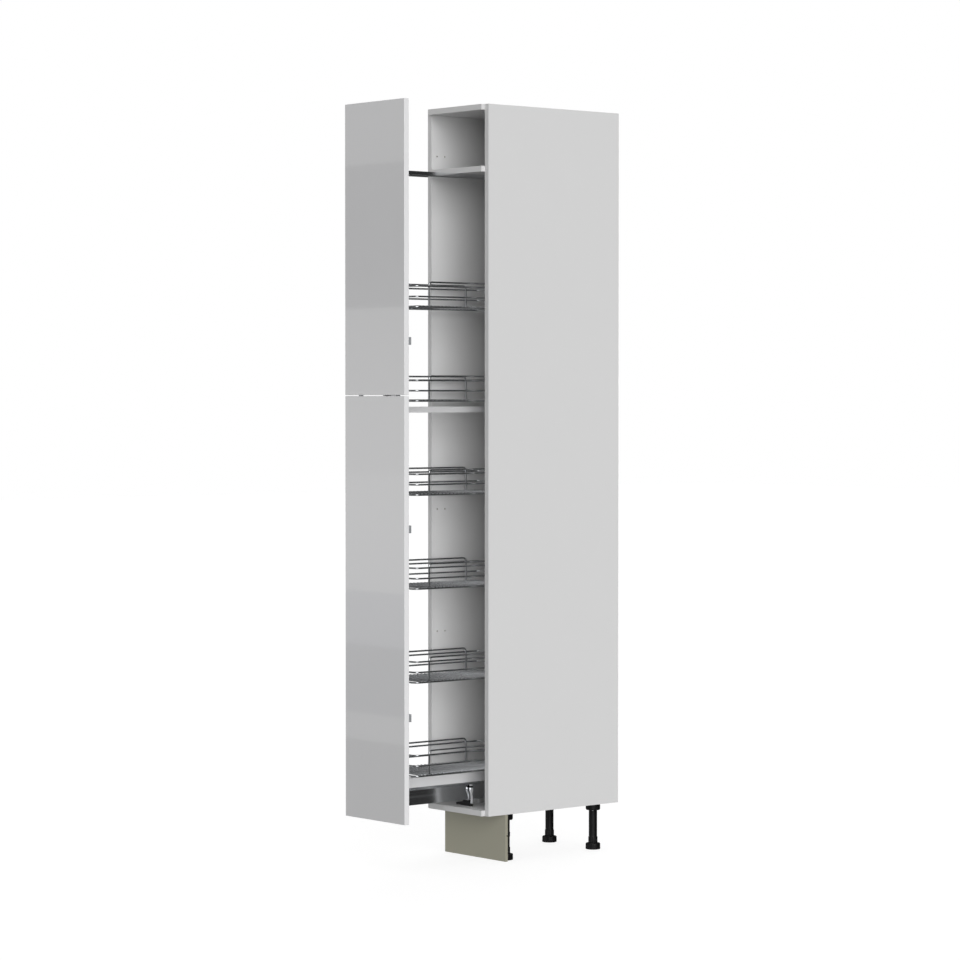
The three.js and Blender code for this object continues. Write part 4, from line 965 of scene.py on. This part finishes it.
class LARDER_OT_baskets(bpy.types.Operator):
    """Bends and welds the six wire baskets."""

    bl_idname = "larder.baskets"
    bl_label = "Wire Baskets"

    def execute(self, context):
        sizes = context.scene.larder_sizes
        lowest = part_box("floor_rail")[1].z + RAIL_TO_BASKET
        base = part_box("basket_1")[0].z
        for number in range(1, BASKET_COUNT + 1):
            node = f"basket_{number}"
            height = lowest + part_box(node)[0].z - base
            bm = bmesh.new()
            for add in (self.rings, self.guards, self.floor, self.hooks, self.welds):
                add(bm, sizes, height)
            as_piece(f"{node}_wirework", outward(bm), [chrome], node)
        return {"FINISHED"}

    def extent(self):
        """Half the baskets' width, and where their front and rear ends are."""
        half_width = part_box("basket_1")[1].x
        return half_width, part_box("front_post")[1].y + FIT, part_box("rear_post")[0].y - FIT

    def rings(self, bm, sizes, height):
        """The three rings, each bent from one wire and closed on its front run."""
        half_width, front, rear = self.extent()
        radius = sizes.ring_corner
        wire = sizes.rail_wire
        half = half_width - wire / 2
        short = half - radius
        long = rear - front - wire - 2 * radius
        corner = (radius, QUARTER)
        for rise in RING_HEIGHTS:
            start = Vector((0, front + wire / 2, height + rise))
            runs = [(run, *corner) for run in (short, long, 2 * short, long)]
            moves = [*runs, (short, 0, 0)]
            bend_wire(bm, start, X_AXIS, Z_AXIS, wire, moves, sides=14)

    def guard_x(self, sizes):
        """How far out the guards' middle is, just inside the rings."""
        return self.extent()[0] - 1.5 * sizes.rail_wire + WELD

    def guards(self, bm, sizes, height):
        """The raised guards, bent over inside the rings' long sides."""
        _, front, rear = self.extent()
        radius = sizes.guard_corner
        upright = GUARD_HEIGHT - radius
        top = rear - front - 2 * GUARD_INSET - 2 * radius
        moves = [(upright, radius, -QUARTER), (top, radius, -QUARTER), (upright, 0, 0)]
        for side in (-1, 1):
            start = Vector((side * self.guard_x(sizes), front + GUARD_INSET, height))
            bend_wire(bm, start, Z_AXIS, X_AXIS, sizes.rail_wire, moves, sides=14)

    def floor(self, bm, sizes, height):
        """The floor wires, laid across the bottom ring and welded to it."""
        half_width, front, rear = self.extent()
        inset = sizes.ring_corner
        pitch = (rear - front - 2 * inset) / (sizes.floor_wires - 1)
        lie = height + (sizes.rail_wire + sizes.floor_wire) / 2 - WELD
        reach = half_width - WELD
        for k in range(sizes.floor_wires):
            start = Vector((-reach, front + inset + k * pitch, lie))
            bend_wire(bm, start, X_AXIS, Z_AXIS, sizes.floor_wire, [(2 * reach, 0, 0)], sides=10)

    def hooks(self, bm, sizes, height):
        """The hook wires: up inside each end, over the top ring and down behind the post's web."""
        _, front, rear = self.extent()
        wire = sizes.hook_wire
        inside = (sizes.rail_wire + wire) / 2 - WELD + sizes.rail_wire / 2
        behind = FIT + POST_WALL + wire / 2 + FIT
        for end, direction in ((front, -1), (rear, 1)):
            over = inside + behind - HOOK_BEND - HOOK_TIP_BEND
            moves = [
                (HOOK_TOP - HOOK_BEND, HOOK_BEND, -direction * QUARTER),
                (over, HOOK_TIP_BEND, -direction * QUARTER),
                (HOOK_DROP - HOOK_TIP_BEND, 0, 0),
            ]
            for side in (-1, 1):
                start = Vector((side * HOOK_SPREAD / 2, end - direction * inside, height))
                bend_wire(bm, start, Z_AXIS, X_AXIS, wire, moves)

    def welds(self, bm, sizes, height):
        """The weld nuggets where the guards and hooks cross the rings."""
        _, front, rear = self.extent()
        wire = sizes.rail_wire
        spots = []
        for side in (-1, 1):
            for y in (front + GUARD_INSET, rear - GUARD_INSET):
                spots.append((side * (self.guard_x(sizes) + wire / 2), y))
            for y in (front + wire, rear - wire):
                spots.append((side * HOOK_SPREAD / 2, y))
        for rise in RING_HEIGHTS:
            for x, y in spots:
                nugget = Matrix.Translation((x, y, height + rise))
                bmesh.ops.create_icosphere(bm, subdivisions=2, radius=NUGGET * wire, matrix=nugget)


# ------------------------ studio

CAMERA_PLACE = Vector((7.7782, -6.5584, 1.4826))
CAMERA_TURN = math.radians(49.935)
CAMERA_PITCH = math.radians(1.57)
CAMERA_LENS = 119.59
CAMERA_SENSOR = 36
FLOOR_SIZE = 60
FLOOR_GREY = 0.25
FLOOR_GLOW = 0.82
# The soft, distant lamps: the way to each from the unit, and how wide it looks.
LAMPS = {
    "key": (Vector((0.9, -0.43, 0.2)), math.radians(50)),
    "top": (Vector((0, 0, 1)), math.radians(60)),
    "back": (Vector((-0.7, 0.7, 0.3)), math.radians(60)),
}
# Polished surfaces mirror a dim studio, whose levels go by the sine of the height. The room before
# the unit is in reflections that point forward, from its first reach on and whole at its second.
# One bright window lies round its direction, whole to its first reach and gone at its second.
SKY_LEVELS = [(-1, 0.2), (-0.4, 0.06), (0, 0.02), (0.12, 0.03), (0.27, 0.1), (0.58, 0.12), (1, 0.2)]
ROOM_LEVEL = 0.3
ROOM_REACH = (-0.1, -0.6)
WINDOW_LEVEL = 4.5
WINDOW_DIRECTION = Vector((0.8, -0.46, 0.42))
WINDOW_REACH = (math.radians(16), math.radians(26))

# What the fronts mirror is a wall of reflectors, from their top down: each reaches down to this
# height on the fronts, and has this brightness and colour.
CARD_Y = -4.0
CARD_X = (-7.0, 1.5)
CARD_SPARE = 0.2  # how far the highest reaches above the fronts' top
REFLECTORS = [
    (2.190, 0.74, "#FFFFFF"),
    (1.745, 0.18, "#F8F9FF"),
    (1.484, 0.91, "#FFFFFF"),
    (1.230, 1.07, "#FFFFFF"),
    (0.864, 1.27, "#FFFFFF"),
    (0.696, 0.80, "#F2F5FF"),
    (0.483, 0.28, "#EEF2FF"),
    (0.398, 0.77, "#FFFFFF"),
    (0.100, 0.21, "#FFFFFF"),
]


def grey(level):
    """A level of grey as an opaque colour."""
    return (level, level, level, 1)


class LARDER_OT_studio(bpy.types.Operator):
    """Sets the camera, the pale floor, the soft light and the reflectors that the fronts mirror."""

    bl_idname = "larder.studio"
    bl_label = "Studio"

    def execute(self, context):
        light = context.scene.larder_light
        context.scene.view_settings.view_transform = "Standard"
        self.camera(context)
        self.floor()
        for name, (direction, angle) in LAMPS.items():
            self.lamp(name, direction, getattr(light, name), angle)
        self.sky(context, light.fill)
        self.reflectors()
        return {"FINISHED"}

    def camera(self, context):
        """The camera, at the photograph's viewing angle."""
        data = bpy.data.cameras.new("Camera")
        data.lens = CAMERA_LENS
        data.sensor_width = CAMERA_SENSOR
        camera = bpy.data.objects.new("Camera", data)
        camera.location = CAMERA_PLACE
        camera.rotation_euler = (QUARTER - CAMERA_PITCH, 0, CAMERA_TURN)
        context.scene.collection.objects.link(camera)
        context.scene.camera = camera

    def lamp(self, name, direction, brightness, angle):
        """A soft, distant lamp that lights what is matt and doesn't show in what is polished."""
        data = bpy.data.lights.new(name, "SUN")
        data.energy = brightness * math.pi
        data.angle = angle
        lamp = bpy.data.objects.new(name, data)
        lamp.rotation_euler = Z_AXIS.rotation_difference(direction).to_euler()
        lamp.visible_glossy = False
        bpy.context.scene.collection.objects.link(lamp)

    def plane(self, name, corners, material, *unseen_by):
        """A staged rectangle, level or facing along Y, that those kinds of ray don't meet."""
        low, high = (Vector(c) for c in corners)
        turn = Matrix.Rotation(QUARTER if low.y == high.y else 0, 4, "X")
        bm = bmesh.new()
        bmesh.ops.create_grid(bm, x_segments=1, y_segments=1, size=0.5, matrix=turn)
        bmesh.ops.scale(bm, verts=bm.verts, vec=[s or 1 for s in high - low])
        bmesh.ops.translate(bm, verts=bm.verts, vec=(low + high) / 2)
        plane = new_object(name, bm, [material])
        for ray in unseen_by:
            setattr(plane, f"visible_{ray}", False)

    def floor(self):
        """A pale floor, mostly its own light, so that shadows on it stay faint."""
        values = {
            "Base Color": grey(FLOOR_GREY),
            "Roughness": 1,
            "Specular IOR Level": 0,
            "Emission Color": (1, 1, 1, 1),
            "Emission Strength": FLOOR_GLOW,
        }
        material = new_finish("studio_floor", values)[0]
        half = FLOOR_SIZE / 2
        corners = ((-half, -half, 0), (half, half, 0))
        # Without its shadow, the lamps' parts below the horizon stand for light thrown up by it.
        self.plane("floor", corners, material, "diffuse", "glossy", "shadow")

    def sky(self, context, fill):
        """White to the camera, an even fill to matt surfaces, and a dim studio to polished ones."""
        world = bpy.data.worlds.new("studio")
        world.use_nodes = True
        context.scene.world = world
        tree = world.node_tree
        tree.nodes.clear()
        path = add_node(tree, "ShaderNodeLightPath").outputs
        direction = add_node(tree, "ShaderNodeTexCoord").outputs["Generated"]
        apart = add_node(tree, "ShaderNodeSeparateXYZ", links={"Vector": direction}).outputs
        towards_window = add_node(
            tree,
            "ShaderNodeVectorMath",
            {1: WINDOW_DIRECTION.normalized()},
            {0: direction},
            operation="DOT_PRODUCT",
        ).outputs["Value"]
        whole, end = (math.cos(angle) for angle in WINDOW_REACH)
        # Each of these is 0 up to the first of its two levels, and 1 from the second on.
        reaches = (
            (apart["Z"], -1, 1),
            (apart["Y"], *ROOM_REACH),
            (towards_window, end, whole),
        )
        height, in_room, in_window = (
            add_node(
                tree, "ShaderNodeMapRange", {"From Min": low, "From Max": high}, {"Value": value}
            ).outputs["Result"]
            for value, low, high in reaches
        )
        ramp = add_node(tree, "ShaderNodeValToRGB", links={"Fac": height})
        while len(ramp.color_ramp.elements) < len(SKY_LEVELS):
            ramp.color_ramp.elements.new(1)
        for element, (sine, level) in zip(ramp.color_ramp.elements, SKY_LEVELS):
            element.position = (sine + 1) / 2
            element.color = grey(level)
        # Each layer's level is mixed with the layers before it, and B shows where its factor is 1.
        layers = (
            (in_room, "A", "B", ROOM_LEVEL),
            (in_window, "A", "B", WINDOW_LEVEL),
            (path["Is Glossy Ray"], "B", "A", fill),
            (path["Is Camera Ray"], "A", "B", 1),
        )
        seen = ramp.outputs["Color"]
        for factor, before, own, level in layers:
            links = {"Factor": factor, before: seen}
            mix = add_node(tree, "ShaderNodeMix", {own: grey(level)}, links, data_type="RGBA")
            seen = mix.outputs["Result"]
        background = add_node(tree, "ShaderNodeBackground", links={"Color": seen})
        links = {"Surface": background.outputs["Background"]}
        add_node(tree, "ShaderNodeOutputWorld", links=links)

    def reflectors(self):
        """The reflectors, placed so that the camera sees each in its own part of the fronts."""
        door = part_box("door_upper")[0].y
        mirrored_y = 2 * door - CAMERA_PLACE.y
        spread = (mirrored_y - CARD_Y) / (mirrored_y - door)
        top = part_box("door_upper")[1].z + CARD_SPARE
        for number, (bottom, brightness, colour) in enumerate(REFLECTORS, 1):
            low, high = (CAMERA_PLACE.z + (z - CAMERA_PLACE.z) * spread for z in (bottom, top))
            name = f"reflector_{number}"
            material = bpy.data.materials.new(name)
            material.use_nodes = True
            tree = material.node_tree
            tree.nodes.clear()
            values = {"Color": (*linear(colour), 1), "Strength": brightness}
            glow = add_node(tree, "ShaderNodeEmission", values).outputs["Emission"]
            add_node(tree, "ShaderNodeOutputMaterial", links={"Surface": glow})
            corners = ((CARD_X[0], CARD_Y, low), (CARD_X[1], CARD_Y, high))
            unseen_by = ("camera", "diffuse", "transmission", "shadow")
            self.plane(name, corners, material, *unseen_by)
            top = bottom


# ------------------------ panel and running


class LARDER_PT_panel(bpy.types.Panel):
    """Lists the larder unit's pieces, sizes and colours in the sidebar."""

    bl_idname = "LARDER_PT_panel"
    bl_label = "Larder Unit"
    bl_space_type = "VIEW_3D"
    bl_region_type = "UI"
    bl_category = "Larder"

    def draw(self, context):
        for operator in OPERATORS:
            self.layout.operator(operator.bl_idname)
        for group in SETTINGS:
            box = self.layout.box()
            settings = getattr(context.scene, group)
            for name in settings.__annotations__:
                box.prop(settings, name)


SETTINGS = {
    "larder_sizes": LarderSizes,
    "larder_colours": LarderColours,
    "larder_light": LarderLight,
}
OPERATORS = (
    LARDER_OT_studio,
    LARDER_OT_boards,
    LARDER_OT_fronts,
    LARDER_OT_legs,
    LARDER_OT_plinth,
    LARDER_OT_runners,
    LARDER_OT_frame,
    LARDER_OT_brackets,
    LARDER_OT_screws,
    LARDER_OT_baskets,
)
CLASSES = (*SETTINGS.values(), *OPERATORS, LARDER_PT_panel)


def register():
    """Registers the classes, and gives the scene their settings."""
    for cls in CLASSES:
        bpy.utils.register_class(cls)
    for name, settings in SETTINGS.items():
        setattr(bpy.types.Scene, name, bpy.props.PointerProperty(type=settings))


def unregister():
    """Undoes what register did."""
    for name in SETTINGS:
        delattr(bpy.types.Scene, name)
    for cls in reversed(CLASSES):
        bpy.utils.unregister_class(cls)


def main():
    register()
    bpy.ops.larder.studio()
    bpy.ops.larder.boards()
    bpy.ops.larder.fronts()
    bpy.ops.larder.legs()
    bpy.ops.larder.plinth()
    bpy.ops.larder.runners()
    bpy.ops.larder.frame()
    bpy.ops.larder.brackets()
    bpy.ops.larder.screws()
    bpy.ops.larder.baskets()


if __name__ == "__main__":
    main()
